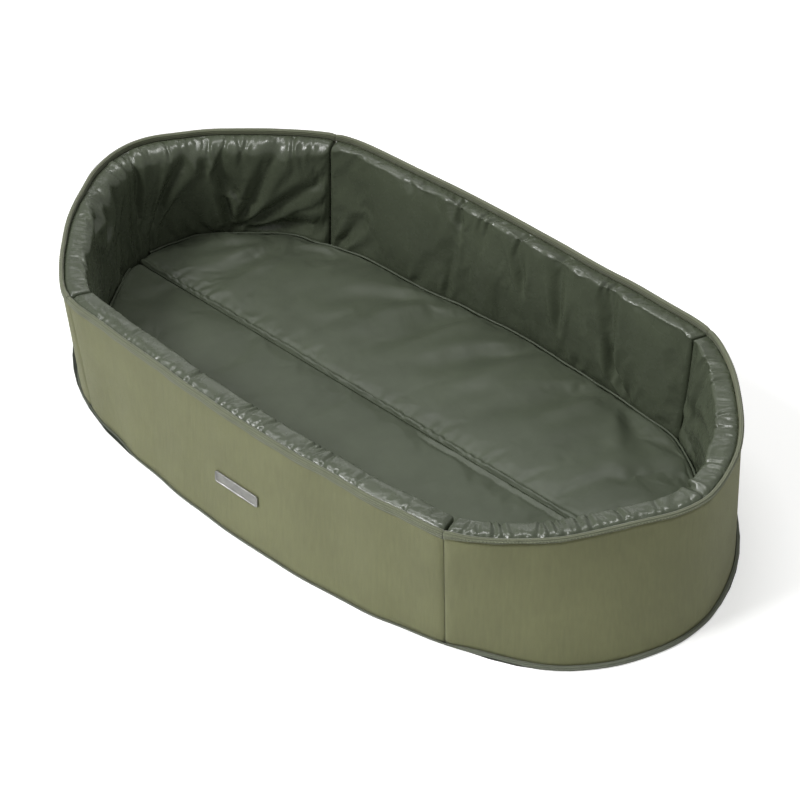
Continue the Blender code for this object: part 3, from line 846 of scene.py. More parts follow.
def fold_lists(side, places, points, normals, strength):
    """Start, end, depth, width and fading of every crease in one length of wall, as places on its lining."""
    facing = normals @ VIEW.back > 0
    pixels = np.where(facing[..., None], VIEW.pixels(points), np.inf)

    def spot(pixel):
        nearest = np.argmin(np.linalg.norm(pixels - np.array(pixel, float), axis=-1))
        return places.reshape(-1, 2)[nearest]

    creases = []

    def add(start, end, depth, width, fade=0.8):
        creases.append((start, end, depth * strength, width, fade))

    for start, end in WALL_FOLDS[side]:
        add(spot(end), spot(start), SOFT_FOLD_DEPTH, SOFT_FOLD_WIDTH, 0.45)
    edge = places[0, TOP_ROWS + HIDDEN_ROWS + EDGE_ROWS // 2, 1]
    for pixel in PINCHES[side]:
        along = spot(pixel)[0]
        lean = 0.012 * (hash_share(along) - 0.5)
        reach = 0.016 + 0.022 * hash_share(2 * along)
        add((along, edge - 0.004), (along + lean, edge + reach), 1.6 * GATHER_DEPTH, 0.9 * GATHER_WIDTH)
        add((along, edge + 0.002), (along - lean, 0.002), 1.3 * GATHER_DEPTH, 0.75 * GATHER_WIDTH, 0.5)
    chance = np.random.default_rng(sum(map(ord, side)))
    length = places[-1, 0, 0]
    count = int(length / GATHER_SPACING[side])
    for along in np.sort(chance.uniform(0.01, length - 0.01, count)):
        reach = chance.uniform(0.016, 0.050)
        lean = chance.uniform(-0.012, 0.012)
        depth = GATHER_DEPTH * chance.uniform(0.25, 0.85)
        add((along, 0.003), (along + lean, reach), depth, GATHER_WIDTH * chance.uniform(0.7, 1.3))
    for along in chance.uniform(0.006, length - 0.006, int(length / SMALL_SPACING[side])):
        lean = chance.uniform(-0.004, 0.004)
        reach = chance.uniform(0.007, 0.016)
        depth = GATHER_DEPTH * chance.uniform(0.2, 0.8)
        add((along, 0.001), (along + lean, reach), depth, 0.7 * GATHER_WIDTH)
    low = places[0, -1, 1]
    for along in chance.uniform(0.02, length - 0.02, count // 3):
        lean = chance.uniform(-0.03, 0.03)
        rise = chance.uniform(0.04, 0.11)
        add((along, low - 0.026), (along + lean, low - rise), 0.5 * SOFT_FOLD_DEPTH, 0.8 * SOFT_FOLD_WIDTH)
    if side in ENDS:
        tip = (LEFT_TIP if side == "left" else ROUND) - LENGTHS[side][0]
        add((tip, 0.002), (tip, low * 0.62), TIP_FOLD_DEPTH, TIP_FOLD_WIDTH)
    return creases


def make_wall_pad(wall, side, look, strength):
    """Foam of one length of wall in its coated liner, gathered where it is sewn."""
    arcs = length_arcs(*LENGTHS[side])
    points, across = pad_grid(wall, arcs)
    normals = grid_normals(points)
    down = across - across[HIDDEN_ROWS]
    places = np.stack(np.broadcast_arrays((arcs - arcs[0])[:, None], down[None, :]), axis=-1)
    shown = np.arange(points.shape[1]) >= HIDDEN_ROWS
    if (OVAL.read(OVAL.normals, arcs) * normals[:, -20, :2]).sum() >= 0:
        normals = -normals
    move = folds(places, fold_lists(side, places, points, normals, strength))
    move += RIPPLE_DEPTH * ripple(places * (1.0, 0.4), len(side), *PAD_RIPPLE)
    move *= smooth_step(down / PAD_SEWN_TOP)[None, :] * shown[None, :]
    from_end = from_ends(arcs)
    move *= smooth_step(from_end / PAD_SEWN_END)
    points = points + normals * np.clip(move, *PAD_MOVE)[..., None]
    pad = loft(f"wall_pad_{side}", points, across, look)
    free = (down > 0.004) & (down < down[-1] - 0.03) & shown
    inside = (from_end > 0.006) & free[None, :]
    settle(pad, inside.reshape(-1), PAD_GROWTH[side], PAD_PRESSURE, PAD_SETTLE)
    subdivide(pad)
    attach(pad, side)
    if side in ENDS:
        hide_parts(f"end_liner_{side}", f"end_foam_{side}_front", f"end_foam_{side}_rear")
    else:
        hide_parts(f"wall_liner_{side}", f"wall_foam_{side}")


def section_loft(name, wall, arcs, depths, heights, look):
    """A closed strip of fabric along the wall, from its section's depths and heights at each station."""
    points = wall.place(arcs[:, None], depths, heights)
    return loft(name, points, running_length(points[len(arcs) // 2]), look)


def make_shell(wall, side, look):
    """Woven outer fabric of one length of wall: taut, and drawn in a little where it is sewn."""
    arcs = length_arcs(*LENGTHS[side], step=2 * COLUMN_STEP)
    column = arcs[:, None]
    top = WALL_HEIGHT - FABRIC - LAYER_GAP
    low_rows, high_rows = np.linspace(SHELL_BOTTOM, FLARE_TOP - 0.006, 22), np.linspace(FLARE_TOP, top, 10)
    heights = np.concatenate([low_rows, high_rows])[None, :]
    outer = wall.outer(column, heights)
    from_end = from_ends(arcs)
    places = np.stack(np.broadcast_arrays(column, heights), axis=-1)
    share = np.clip((heights - SHELL_BOTTOM) / (FLARE_TOP - SHELL_BOTTOM), 0, 1)
    hold = np.minimum(4 * share * (1 - share), 1) * smooth_step(from_end / 0.03)
    wave = SHELL_WAVE * ripple(places * (1.0, 0.45), 7 + len(side), *SHELL_RIPPLE) * hold
    tuck = SHELL_TUCK * np.exp(-((from_end / SHELL_EDGE) ** 2)) * (share < 1)
    end = OVAL.right_end(column)
    tape = WALL_HEIGHT - OUTER_LEG + END_LEG_LOSS * end
    groove = (SHELL_GROOVE[0] + SHELL_GROOVE[1] * end) * np.exp(-(((heights - tape) / SHELL_EDGE) ** 2))
    outer = outer + wave + tuck + groove * smooth_step(from_end / 0.01)
    inner = outer + SHELL_THICKNESS
    depths = np.concatenate([outer, inner[:, ::-1]], axis=1)
    both = np.broadcast_to(np.concatenate([heights, heights[:, ::-1]], axis=1), depths.shape)
    shell = section_loft(f"shell_{side}", wall, arcs, depths, both, look)
    node = f"end_shell_{side}" if side in ENDS else f"wall_shell_{side}"
    finish_strip(shell, side, node)


def finish_strip(strip, side, node):
    bevel(strip, TAPE_BEVEL, 1, 50)
    attach(strip, side)
    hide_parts(node)


def make_rim_binding(wall, side, look):
    """Ribbed tape folded over the top edges of shell and liner."""
    arcs = length_arcs(*LENGTHS[side])
    column = arcs[:, None]
    uneven = waver(arcs, 31, 0.09, 0.025)[:, None]
    outer = wall.outer(column, np.full((1, 1), WALL_HEIGHT)) - SHELL_DEPTH
    inner = PAD_DEPTH + FABRIC + LAYER_GAP
    low_out = WALL_HEIGHT - OUTER_LEG + END_LEG_LOSS * OVAL.right_end(column) + TAPE_WAVER * uneven
    low_in = WALL_HEIGHT - OVAL.roll(column)[0]
    top = WALL_HEIGHT
    outline = [
        (outer + 0.0002, low_out),
        (outer - 0.0004, low_out + 0.0012),
        (outer - 0.0001 + 0.0005 * uneven, (low_out + top) / 2),
        (outer + 0.0001, top - TAPE_ROUND),
        (outer + TAPE_ROUND * 0.3, top - TAPE_ROUND * 0.3),
        (outer + TAPE_ROUND, top),
        (inner - TAPE_ROUND * 0.4, top),
        (inner + FABRIC - 0.0003, top - TAPE_ROUND * 0.35),
        (inner + FABRIC, top - TAPE_ROUND),
        (inner + FABRIC, low_in),
        (inner, low_in),
        (inner, top - FABRIC),
        (outer + FABRIC, top - FABRIC),
        (outer + FABRIC, low_out),
    ]
    depths = np.concatenate([pair[0] + 0 * column for pair in outline], axis=1)
    heights = np.concatenate([pair[1] + 0 * column for pair in outline], axis=1)
    heights = heights - TAPE_SAG * np.exp(-((from_ends(arcs) / 0.004) ** 2))
    binding = section_loft(f"rim_tape_{side}", wall, arcs, depths, heights, look)
    finish_strip(binding, side, f"rim_binding_{side}")


def make_foot_binding(wall, side, look):
    """Bound seam where the shell is sewn to the underside."""
    arcs = length_arcs(*LENGTHS[side])
    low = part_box("foot_binding_rear")[0][2]
    size = OVAL.foot_tape(arcs)[:, None]
    width, height = FOOT_TAPE_WIDTH * size, FOOT_TAPE_HEIGHT * size
    turns = np.linspace(0, 2 * math.pi, 14, endpoint=False)[None, :]
    near = wall.outer(arcs[:, None], np.full((1, 1), low)) - LAYER_GAP
    uneven = waver(arcs, 47, 0.12, 0.03)[:, None]
    bow = signed_power(np.cos(turns), FOOT_BOW)
    lift = signed_power(np.sin(turns), FOOT_LIFT_POWER)
    depths = near - width / 2 * (1 - bow)
    heights = low + height / 2 * (1 + lift) * (1 + 0.05 * uneven)
    lean = wall.outer(arcs[:, None], heights) - wall.outer(arcs[:, None], np.full((1, 1), low))
    binding = section_loft(f"foot_tape_{side}", wall, arcs, depths + lean, heights, look)
    finish_strip(binding, side, f"foot_binding_{side}")


def resample(points, step):
    """Points at even steps along an open outline, without its two ends."""
    length = running_length(points)
    count = max(int(round(length[-1] / step)), 2)
    at = np.linspace(0, length[-1], count + 1)[1:-1]
    return np.stack([np.interp(at, length, points[:, k]) for k in (0, 1)], axis=1)


def cushion_outline(wall, side):
    """(outline, its spine points) of half the floor.

    It runs along the wall towards -X and back along the centre seam. The two long sides have points at the
    same places along X, so that they meet in pairs on the cushion's middle line.
    """
    sizes = wall.sizes
    across = 1 if side == "rear" else -1
    roll = sizes.floor_roll
    ends = (RIGHT_TIP, LEFT_TIP) if side == "rear" else (ROUND, LEFT_TIP)
    arcs = np.linspace(*ends, OVAL_SAMPLES)
    edge = wall.place(arcs, wall.floor_edge(arcs) + FLOOR_SIDE_GAP, 0.0)[:, :2]
    seam = across * CENTRE_GAP / 2
    edge = edge[edge[:, 1] * across > CENTRE_GAP / 2 + roll]

    def corner(point):
        share = np.linspace(0, 1, 8)[1:, None]
        x = point[0] - math.copysign(roll, point[0]) * share**2
        return np.concatenate([x, seam + (point[1] - seam) * (1 - share) ** 2], axis=1)

    left, right = corner(edge[-1]), corner(edge[0])[::-1]
    half_spine = RIM_LENGTH / 2 * SPINE_SHARE
    high, low = RIM_MIDDLE + half_spine, RIM_MIDDLE - half_spine
    spine_y = across * SPINE_ACROSS_SHARE * np.abs(edge[:, 1]).max()
    xs = np.linspace(high, low, int((high - low) / CUSHION_STEP) + 1)
    wall_side = np.stack([xs, np.interp(xs, edge[::-1, 0], edge[::-1, 1])], axis=1)
    seam_side = np.stack([xs[::-1], np.full(len(xs), seam)], axis=1)
    left_cap = np.concatenate([wall_side[-1:], edge[edge[:, 0] < low], left, seam_side[:1]])
    right_cap = np.concatenate([seam_side[-1:], right, edge[edge[:, 0] > high], wall_side[:1]])
    left_cap, right_cap = resample(left_cap, CUSHION_STEP), resample(right_cap, CUSHION_STEP)
    outline = np.concatenate([wall_side, left_cap, seam_side, right_cap])
    spine_x = np.concatenate([xs, np.full(len(left_cap), low), xs[::-1], np.full(len(right_cap), high)])
    return outline, np.stack([spine_x, np.full(len(spine_x), spine_y)], axis=1)


def cushion_folds(side, edge, strength):
    """Folds of a floor cushion: those that the photograph shows, and small gathers along its seams."""
    height = HINGE_HEIGHT + 0.005
    busy = 1.0 if side == "rear" else FRONT_FOLD_SHARE
    creases = []

    def add(start, end, depth, width, fade=0.8):
        creases.append((start, end, depth * strength, width, fade))

    for start, end in FLOOR_FOLDS[side]:
        depth = FLOOR_FOLD_DEPTH * busy
        add(VIEW.on_level(start, height), VIEW.on_level(end, height), depth, FLOOR_FOLD_WIDTH, 0.5)
    across = 1 if side == "rear" else -1
    chance = np.random.default_rng(11 + across)
    low, high = edge[:, 0].min() + 0.03, edge[:, 0].max() - 0.03
    for x in chance.uniform(low, high, int(60 * busy)):
        reach = chance.uniform(0.008, 0.030)
        lean = chance.uniform(-0.5, 0.5) * reach
        depth = GATHER_DEPTH * chance.uniform(0.15, 0.6)
        add((x, across * 0.002), (x + lean, across * reach), depth, GATHER_WIDTH * chance.uniform(0.6, 1.2))
    if side == "rear":
        for pixel in SEAM_PINCHES:
            x = VIEW.on_level(pixel, HINGE_HEIGHT)[0]
            reach = 0.012 + 0.016 * hash_share(x)
            add((x, 0.001), (x + 0.4 * reach, reach), 2.0 * GATHER_DEPTH, GATHER_WIDTH)
    for share in chance.uniform(0.05, 0.95, 26):
        point = edge[int(share * len(edge))]
        inward = np.array([RIM_MIDDLE * 0.5 - point[0] * 0.6, -point[1]])
        inward *= chance.uniform(0.02, 0.06) / np.linalg.norm(inward)
        add(point, point + inward, GATHER_DEPTH * chance.uniform(0.2, 0.7), GATHER_WIDTH * chance.uniform(1, 2))
    return creases


def seam_bead(places, side):
    """Height of the edge that is sewn down along the centre seam: a bead with a groove behind it."""
    from_seam = np.abs(places[..., 1])
    bead = BEAD_HEIGHT * np.exp(-(((from_seam - BEAD_PLACE) / BEAD_WIDTH) ** 2))
    groove = 0.7 * BEAD_HEIGHT * np.exp(-(((from_seam - 2.3 * BEAD_PLACE) / BEAD_WIDTH) ** 2))
    uneven = 1 + 0.5 * ripple(places * (1.0, 0.0), 61, 0.06, 0.012)
    shown = 1.0 if side == "rear" else smooth_step((places[..., 0] - BEAD_START) / 0.03)
    return (bead - groove) * uneven * shown


def make_floor_cushion(wall, side, look, strength):
    """Half of the floor: foam in a coated cover, with a rolled edge all round."""
    sizes = wall.sizes
    outline, spine = cushion_outline(wall, side)
    roll = sizes.floor_roll
    toward = spine - outline
    toward /= np.linalg.norm(toward, axis=1)[:, None]
    rings, weights = [], []
    from_seam = np.abs(outline[:, 1]) - CENTRE_GAP / 2
    radius = SEAM_ROLL + (roll - SEAM_ROLL) * smooth_step(from_seam / roll)

    def ring(distance, height, weight):
        flat = outline + toward * np.broadcast_to(distance, len(outline))[:, None]
        heights = np.broadcast_to(height, len(outline))
        rings.append(np.concatenate([flat, heights[:, None]], axis=1))
        weights.append(weight)

    for share in CUSHION_BOTTOM_SHARES:
        flat = outline + (spine - outline) * share
        rings.append(np.concatenate([flat, np.full((len(flat), 1), SHELL_BOTTOM)], axis=1))
        weights.append(0.0)
    for share in np.linspace(0, 1, 4):
        ring(0.0, SHELL_BOTTOM + (HINGE_HEIGHT - radius - SHELL_BOTTOM) * share, 0.0)
    for turn in np.linspace(0, math.pi / 2, ROLL_STEPS + 1)[1:]:
        ring(radius * (1 - math.cos(turn)), HINGE_HEIGHT - radius * (1 - math.sin(turn)), math.sin(turn) ** 2)
    rolled = rings[-1]
    for share in np.linspace(0, 1, CUSHION_RINGS + 1)[1:] ** 1.5:
        flat = rolled[:, :2] + (spine - rolled[:, :2]) * share
        height = HINGE_HEIGHT + sizes.floor_crown * (1 - (1 - share) ** 2.4)
        rings.append(np.concatenate([flat, np.full((len(flat), 1), height)], axis=1))
        weights.append(1.0)
    points = np.stack(rings)
    size = len(outline)
    move = folds(points[..., :2], cushion_folds(side, outline, strength))
    calm = 1.0 if side == "rear" else FRONT_CALM
    turned = points[..., :2] @ np.array([STREAK_WAY, (-STREAK_WAY[1], STREAK_WAY[0])]).T * (0.25, 1.0)
    near_wall = smooth_step(np.abs(points[..., 1]) / 0.14)
    move += calm * near_wall * STREAK_DEPTH * ripple(turned, 8, 0.075, 0.028, 12)
    move += calm * FLOOR_UNEVENNESS * ripple(points[..., :2] * (1.0, 1.6), 5, 0.20, 0.055, 14)
    move += seam_bead(points[..., :2], side)
    points[..., 2] += np.clip(move, *CUSHION_MOVE) * np.array(weights)[:, None]
    faces = tube_faces(len(rings), size)
    flat = points.reshape(-1, 3)
    uvs = flat[np.array(faces).ravel(), :2]
    cushion = new_mesh_object(f"floor_cushion_{side}", flat, faces, uvs, look)
    face_outward(cushion, (slice(0, size), slice(-size, None)))
    heights = mesh_points(cushion)[:, 2]
    settle(cushion, heights > HINGE_HEIGHT - 0.15 * roll, CUSHION_GROWTH * calm, CUSHION_PRESSURE, CUSHION_SETTLE)
    settled = mesh_points(cushion)
    settled[:, 2] = np.minimum(settled[:, 2], HINGE_HEIGHT + FOLD_ROOM * np.abs(settled[:, 1]))
    set_mesh_points(cushion, settled)
    subdivide(cushion)
    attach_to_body(cushion, REAR if side == "rear" else FRONT)
    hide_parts(f"floor_cover_{side}", f"floor_foam_{side}")


def make_floor_welt(wall, side, look):
    """Thin welt along the wall side of a floor cushion."""
    sizes = wall.sizes
    ends = (RIGHT_TIP, LEFT_TIP) if side == "rear" else (LEFT_TIP, ROUND)
    arcs = np.linspace(*ends, int((ends[1] - ends[0]) / COLUMN_STEP))
    arcs = arcs[np.abs(OVAL.read(OVAL.points, arcs)[:, 1]) > WELT_END_GAP]
    radius = WELT_DIAMETER / 2
    edge = wall.floor_edge(arcs)
    depth = edge + LAYER_GAP + radius
    sunk = edge + FLOOR_SIDE_GAP + sizes.floor_roll
    away = sizes.floor_roll + LAYER_GAP + radius
    height = HINGE_HEIGHT - sizes.floor_roll + np.sqrt(away**2 - (sunk - depth) ** 2) + WELT_SEAT - LAYER_GAP
    height = height + WELT_WAVER * waver(arcs, 3, 0.10, 0.03)
    turns = np.linspace(0, 2 * math.pi, 12, endpoint=False)[None, :]
    depths = depth[:, None] + WELT_SHOWN * radius * np.cos(turns)
    heights = height[:, None] - WELT_DROP + WELT_SHOWN * radius * np.sin(turns)
    welt = section_loft(f"floor_welt_line_{side}", wall, arcs, depths, heights, look)
    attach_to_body(welt, REAR if side == "rear" else FRONT)
    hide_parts(f"floor_welt_{side}")


def make_plate(wall, look):
    """Bare metal plate with a raised border, flat against the front wall's shell."""
    low, high = np.array(PLATE_LOW), np.array(PLATE_HIGH)
    centre = (low + high) / 2
    length, height = high[0] - low[0], (high[2] - low[2])
    arcs = np.linspace(FRONT_LEFT, FRONT_RIGHT, 400)
    arc = np.interp(centre[0], OVAL.read(OVAL.points, arcs)[:, 0], arcs)
    level = np.full(1, centre[2])
    normal = np.append(OVAL.read(OVAL.normals, np.array([arc]))[0], 0.0)
    steep = (wall.outer(np.array([arc]), level + 0.005) - wall.outer(np.array([arc]), level - 0.005))[0] / 0.01
    up = np.array([0.0, 0.0, 1.0]) - normal * steep
    up /= np.linalg.norm(up)
    side = np.cross(up, normal)
    side /= np.linalg.norm(side)
    out = np.cross(side, up)
    if out @ normal < 0:
        out = -out
    seat = wall.place(np.array([arc]), wall.outer(np.array([arc]), level) - LAYER_GAP, level)[0]

    def outline(grow, radius):
        half = np.array([length / 2 + grow, height / 2 + grow])
        points = []
        for quadrant, signs in enumerate(((1, 1), (-1, 1), (-1, -1), (1, -1))):
            for k in range(CORNER_STEPS):
                turn = math.pi / 2 * (quadrant + k / (CORNER_STEPS - 1))
                corner = np.array(signs) * (half - radius)
                points.append(corner + radius * np.array([math.cos(turn), math.sin(turn)]))
        return points

    middle_grow, middle_radius, middle_rise = PLATE_MIDDLE
    floor = PLATE_THICKNESS - PLATE_RECESS
    rings = (
        (0.0, PLATE_CORNER, 0.0),
        (0.0, PLATE_CORNER, PLATE_THICKNESS - PLATE_EDGE),
        (-PLATE_EDGE, PLATE_CORNER - PLATE_EDGE, PLATE_THICKNESS),
        (-PLATE_BORDER, PLATE_CORNER - PLATE_BORDER, PLATE_THICKNESS),
        (-PLATE_BORDER - PLATE_SLOPE, PLATE_CORNER - PLATE_BORDER - PLATE_SLOPE, floor),
        (-PLATE_BORDER + middle_grow, middle_radius, floor + middle_rise),
    )
    points = []
    for grow, radius, proud in rings:
        points += [seat + side * a + up * b + out * proud for a, b in outline(grow, radius)]
    size = 4 * CORNER_STEPS
    faces = tube_faces(len(rings), size)
    faces.append(tuple(range(size))[::-1])
    faces.append(tuple((len(rings) - 1) * size + j for j in range(size)))
    plate = new_mesh_object("plate_bare", np.array(points), faces, None, look)
    face_outward(plate)
    bevel(plate, 0.00015, 2, 40)
    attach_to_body(plate, FRONT)
    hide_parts("badge_plate")


def stitch_tree(look):
    """Geometry nodes that set stitches along the edges of a mesh."""
    tree = bpy.data.node_groups.new("Stitches along a seam", "GeometryNodeTree")
    sockets = tree.interface
    sockets.new_socket("Seam", in_out="INPUT", socket_type="NodeSocketGeometry")
    for name, value in (("Pitch", 0.004), ("Stitch length", 0.0025), ("Thread width", THREAD_WIDTH)):
        socket = sockets.new_socket(name, in_out="INPUT", socket_type="NodeSocketFloat")
        socket.default_value = value
        socket.subtype = "DISTANCE"
    sockets.new_socket("Stitches", in_out="OUTPUT", socket_type="NodeSocketGeometry")
    start = add_node(tree, "NodeGroupInput").outputs
    curve = add_node(tree, "GeometryNodeMeshToCurve", {"Mesh": start["Seam"]})
    places = add_node(tree, "GeometryNodeResampleCurve", {"Curve": curve, "Length": start["Pitch"]}, mode="LENGTH")
    tangent = add_node(tree, "GeometryNodeInputTangent")
    turned = add_node(tree, "FunctionNodeAlignRotationToVector", {"Vector": tangent}, axis="X")
    bead = add_node(tree, "GeometryNodeMeshIcoSphere", {"Radius": 0.5, "Subdivisions": 2})
    thread = start["Thread width"]
    shape = add_node(tree, "ShaderNodeCombineXYZ", {"X": start["Stitch length"], "Y": thread, "Z": thread})
    stitches = {"Points": places, "Instance": bead, "Rotation": turned, "Scale": shape}
    set_ = add_node(tree, "GeometryNodeInstanceOnPoints", stitches)
    real = add_node(tree, "GeometryNodeRealizeInstances", {"Geometry": set_})
    smooth = add_node(tree, "GeometryNodeSetShadeSmooth", {"Geometry": real})
    painted = add_node(tree, "GeometryNodeSetMaterial", {"Geometry": smooth, "Material": look})
    add_node(tree, "NodeGroupOutput", {"Stitches": painted})
    return tree


def make_stitches(wall, side, look, pitch):
    """Two rows of stitches through the rim's binding."""
    start, end = LENGTHS[side]
    arcs = np.linspace(start, end, int((end - start) / ROW_STEP_ALONG))
    arcs = arcs[(arcs > start + STITCH_END) & (arcs < end - STITCH_END)]
    face = wall.outer(arcs, WALL_HEIGHT + 0 * arcs) - SHELL_DEPTH - 0.0001
    low_row = WALL_HEIGHT - OUTER_LEG + END_LEG_LOSS * OVAL.right_end(arcs) + LOWER_ROW
    rows = (WALL_HEIGHT - UPPER_ROW + 0 * arcs, low_row)
    points = np.concatenate([wall.place(arcs, face, height) for height in rows])
    size = len(arcs)
    edges = [(row * size + k, row * size + k + 1) for row in (0, 1) for k in range(size - 1)]
    stitches = new_mesh_object(f"stitches_{side}", points, [], edges=edges)
    modifier = stitches.modifiers.new("Stitches", "NODES")
    modifier.node_group = stitch_tree(look)
    values = {"Pitch": pitch, "Stitch length": pitch * STITCH_SHARE, "Thread width": THREAD_WIDTH}
    for item in modifier.node_group.interface.items_tree:
        if item.name in values:
            modifier[item.identifier] = values[item.name]
    bake(stitches)
    attach(stitches, side)


def add_node(tree, kind, inputs=None, links=None, **settings):
    """Adds a node. An input, by name or number, takes a value, an output, or a node for its first output."""
    node = tree.nodes.new(kind)
    for name, value in settings.items():
        setattr(node, name, value)
    for name, value in {**(inputs or {}), **(links or {})}.items():
        source = value.outputs[0] if isinstance(value, bpy.types.Node) else value
        if isinstance(source, bpy.types.NodeSocket):
            tree.links.new(source, node.inputs[name])
        else:
            node.inputs[name].default_value = source
    return node


def new_material(name, colour, sockets):
    """(material, tree, shader) of a material whose constant values stand on the shader's own sockets."""
    look = bpy.data.materials.new(name)
    look.use_nodes = True
    look.diffuse_color = (*colour, 1.0)
    tree = look.node_tree
    shader = tree.nodes["Principled BSDF"]
    shader.inputs["Base Color"].default_value = (*colour, 1.0)
    for socket, value in sockets.items():
        shader.inputs[socket].default_value = value
    return look, tree, shader


def tint(tree, shader, colour, share, dark, light):
    """Varies the base colour between a darker and a lighter shade of itself by a share from 0 to 1."""
    shade = add_node(tree, "ShaderNodeMix", {
        "Factor": share,
        "A": (*[c * dark for c in colour], 1.0),
        "B": (*[min(c * light, 1.0) for c in colour], 1.0),
    }, data_type="RGBA")
    tree.links.new(shade.outputs["Result"], shader.inputs["Base Color"])


def maths(tree, operation, *sources):
    """A Math node on numbers or sockets; gives its output."""
    node = tree.nodes.new("ShaderNodeMath")
    node.operation = operation
    for slot, source in zip(node.inputs, sources):
        if isinstance(source, (int, float)):
            slot.default_value = source
        else:
            tree.links.new(source, slot)
    return node.outputs[0]


def weave_height(tree, along, across, place="UV"):
    """Height, from 0 to 1, of a plain weave with the given thread spacings in metres."""
    if place == "UV":
        source = add_node(tree, "ShaderNodeUVMap", uv_map="fabric").outputs[0]
    else:
        source = add_node(tree, "ShaderNodeTexCoord").outputs["Object"]
    parts = add_node(tree, "ShaderNodeSeparateXYZ", links={0: source})
    u = maths(tree, "MULTIPLY", parts.outputs[0], math.pi / along)
    v = maths(tree, "MULTIPLY", parts.outputs[1], math.pi / across)
    over = maths(tree, "MULTIPLY", maths(tree, "SINE", u), maths(tree, "SINE", v))
    thread_u = maths(tree, "ABSOLUTE", maths(tree, "SINE", u))
    thread_v = maths(tree, "ABSOLUTE", maths(tree, "SINE", v))
    first = maths(tree, "GREATER_THAN", over, 0.0)
    picked = maths(tree, "ADD",
                   maths(tree, "MULTIPLY", thread_u, first),
                   maths(tree, "MULTIPLY", thread_v, maths(tree, "SUBTRACT", 1.0, first)))
    return picked


def noise(tree, size, detail=2.0, roughness=0.5, stretch=None, distortion=0.0):
    """Noise from about 0 to 1 on object coordinates, with features of a size in metres."""
    source = add_node(tree, "ShaderNodeTexCoord").outputs["Object"]
    if stretch:
        source = add_node(tree, "ShaderNodeMapping", {"Scale": stretch}, {"Vector": source}).outputs[0]
    node = add_node(
        tree,
        "ShaderNodeTexNoise",
        {"Scale": 1 / size, "Detail": detail, "Roughness": roughness, "Distortion": distortion},
        {"Vector": source},
    )
    return node.outputs[0]


def spread(tree, value, low, high, to_low, to_high):
    """Maps a range of a value to another, clamped."""
    node = add_node(
        tree,
        "ShaderNodeMapRange",
        {"From Min": low, "From Max": high, "To Min": to_low, "To Max": to_high},
        {"Value": value},
    )
    return node.outputs[0]


def bumps(tree, shader, *layers):
    """Stacks bump nodes: each layer is a height from 0 to 1 and its depth in metres."""
    normal = None
    for height, depth in layers:
        links = {"Height": height}
        if normal is not None:
            links["Normal"] = normal
        normal = add_node(tree, "ShaderNodeBump", {"Strength": 1.0, "Distance": depth}, links).outputs[0]
    tree.links.new(normal, shader.inputs["Normal"])


def woven_polyester(name, colour):
    """600-denier polyester, woven plain and coated on its hidden face.

    The threads give a dull cloth with a faint grid. They are 0.5 mm apart and are drawn at twice that, so
    that they show at all.
    """
    look, tree, shader = new_material(name, colour, {"Roughness": 0.78, "Sheen Weight": 0.15})
    weave = weave_height(tree, 0.0010, 0.0010)
    cloud = noise(tree, 0.09, 3.0)
    slub = noise(tree, 0.004, 2.0, stretch=(1.0, 1.0, 0.15))
    share = maths(tree, "ADD", maths(tree, "MULTIPLY", cloud, 0.6), maths(tree, "MULTIPLY", slub, 0.4))
    tint(tree, shader, colour, spread(tree, share, 0.35, 0.65, 0.0, 1.0), 0.90, 1.09)
    bumps(tree, shader, (noise(tree, 0.03, 2.0), 0.0009), (slub, 0.00025), (weave, 0.00022))
    return look


def coated_fabric(name, colour, gloss, shine, creased):
    """Calendered PVC on a knitted base: supple, with a soft shine that breaks over small creases.

    The calender's emboss is 0.6 mm across, drawn at 1.1 mm.
    """
    look, tree, shader = new_material(name, colour, {"Specular IOR Level": shine})
    emboss = add_node(tree, "ShaderNodeTexVoronoi", {"Scale": 1 / 0.0011}, {
        "Vector": add_node(tree, "ShaderNodeTexCoord").outputs["Object"]
    }).outputs[0]
    crumple = noise(tree, 0.045, 2.0, 0.45, distortion=0.4)
    crease = maths(tree, "ABSOLUTE", maths(tree, "SUBTRACT", noise(tree, 0.06, 2.0, 0.5, distortion=0.5), 0.5))
    crease = spread(tree, crease, 0.0, 0.035, 0.0, 1.0)
    cloud = noise(tree, 0.07, 4.0, 0.6)
    tint(tree, shader, colour, spread(tree, cloud, 0.35, 0.65, 0.0, 1.0), 0.92, 1.09)
    rough = spread(tree, noise(tree, 0.02, 3.0, 0.6), 0.3, 0.7, gloss - 0.04, gloss + 0.05)
    tree.links.new(rough, shader.inputs["Roughness"])
    bumps(tree, shader, (crumple, 0.0016), (crease, creased), (emboss, 0.00005))
    return look


def grosgrain(name, colour, rib):
    """Grosgrain binding tape of polyester: ribs close together give a matt, slightly silky band."""
    look, tree, shader = new_material(name, colour, {"Roughness": 0.66, "Sheen Weight": 0.2})
    source = add_node(tree, "ShaderNodeUVMap", uv_map="fabric").outputs[0]
    parts = add_node(tree, "ShaderNodeSeparateXYZ", links={0: source})
    across = maths(tree, "ABSOLUTE", maths(tree, "SINE", maths(tree, "MULTIPLY", parts.outputs[0], math.pi / rib)))
    along = maths(tree, "SINE", maths(tree, "MULTIPLY", parts.outputs[1], 2 * math.pi / 0.0026))
    along = spread(tree, along, -1.0, 1.0, 0.0, 1.0)
    worn = noise(tree, 0.03, 3.0)
    # The colour follows the lengthwise ribs' height: painted shade in their grooves and painted highlight on their
    # crests, mixed with a random tone from the worn noise.
    share = maths(tree, "ADD", maths(tree, "MULTIPLY", along, 0.6), maths(tree, "MULTIPLY", worn, 0.4))
    tint(tree, shader, colour, share, 0.66, 1.26)
    bumps(tree, shader, (noise(tree, 0.012, 2.0), 0.0010), (along, 0.0005), (across, 0.00030))
    return look


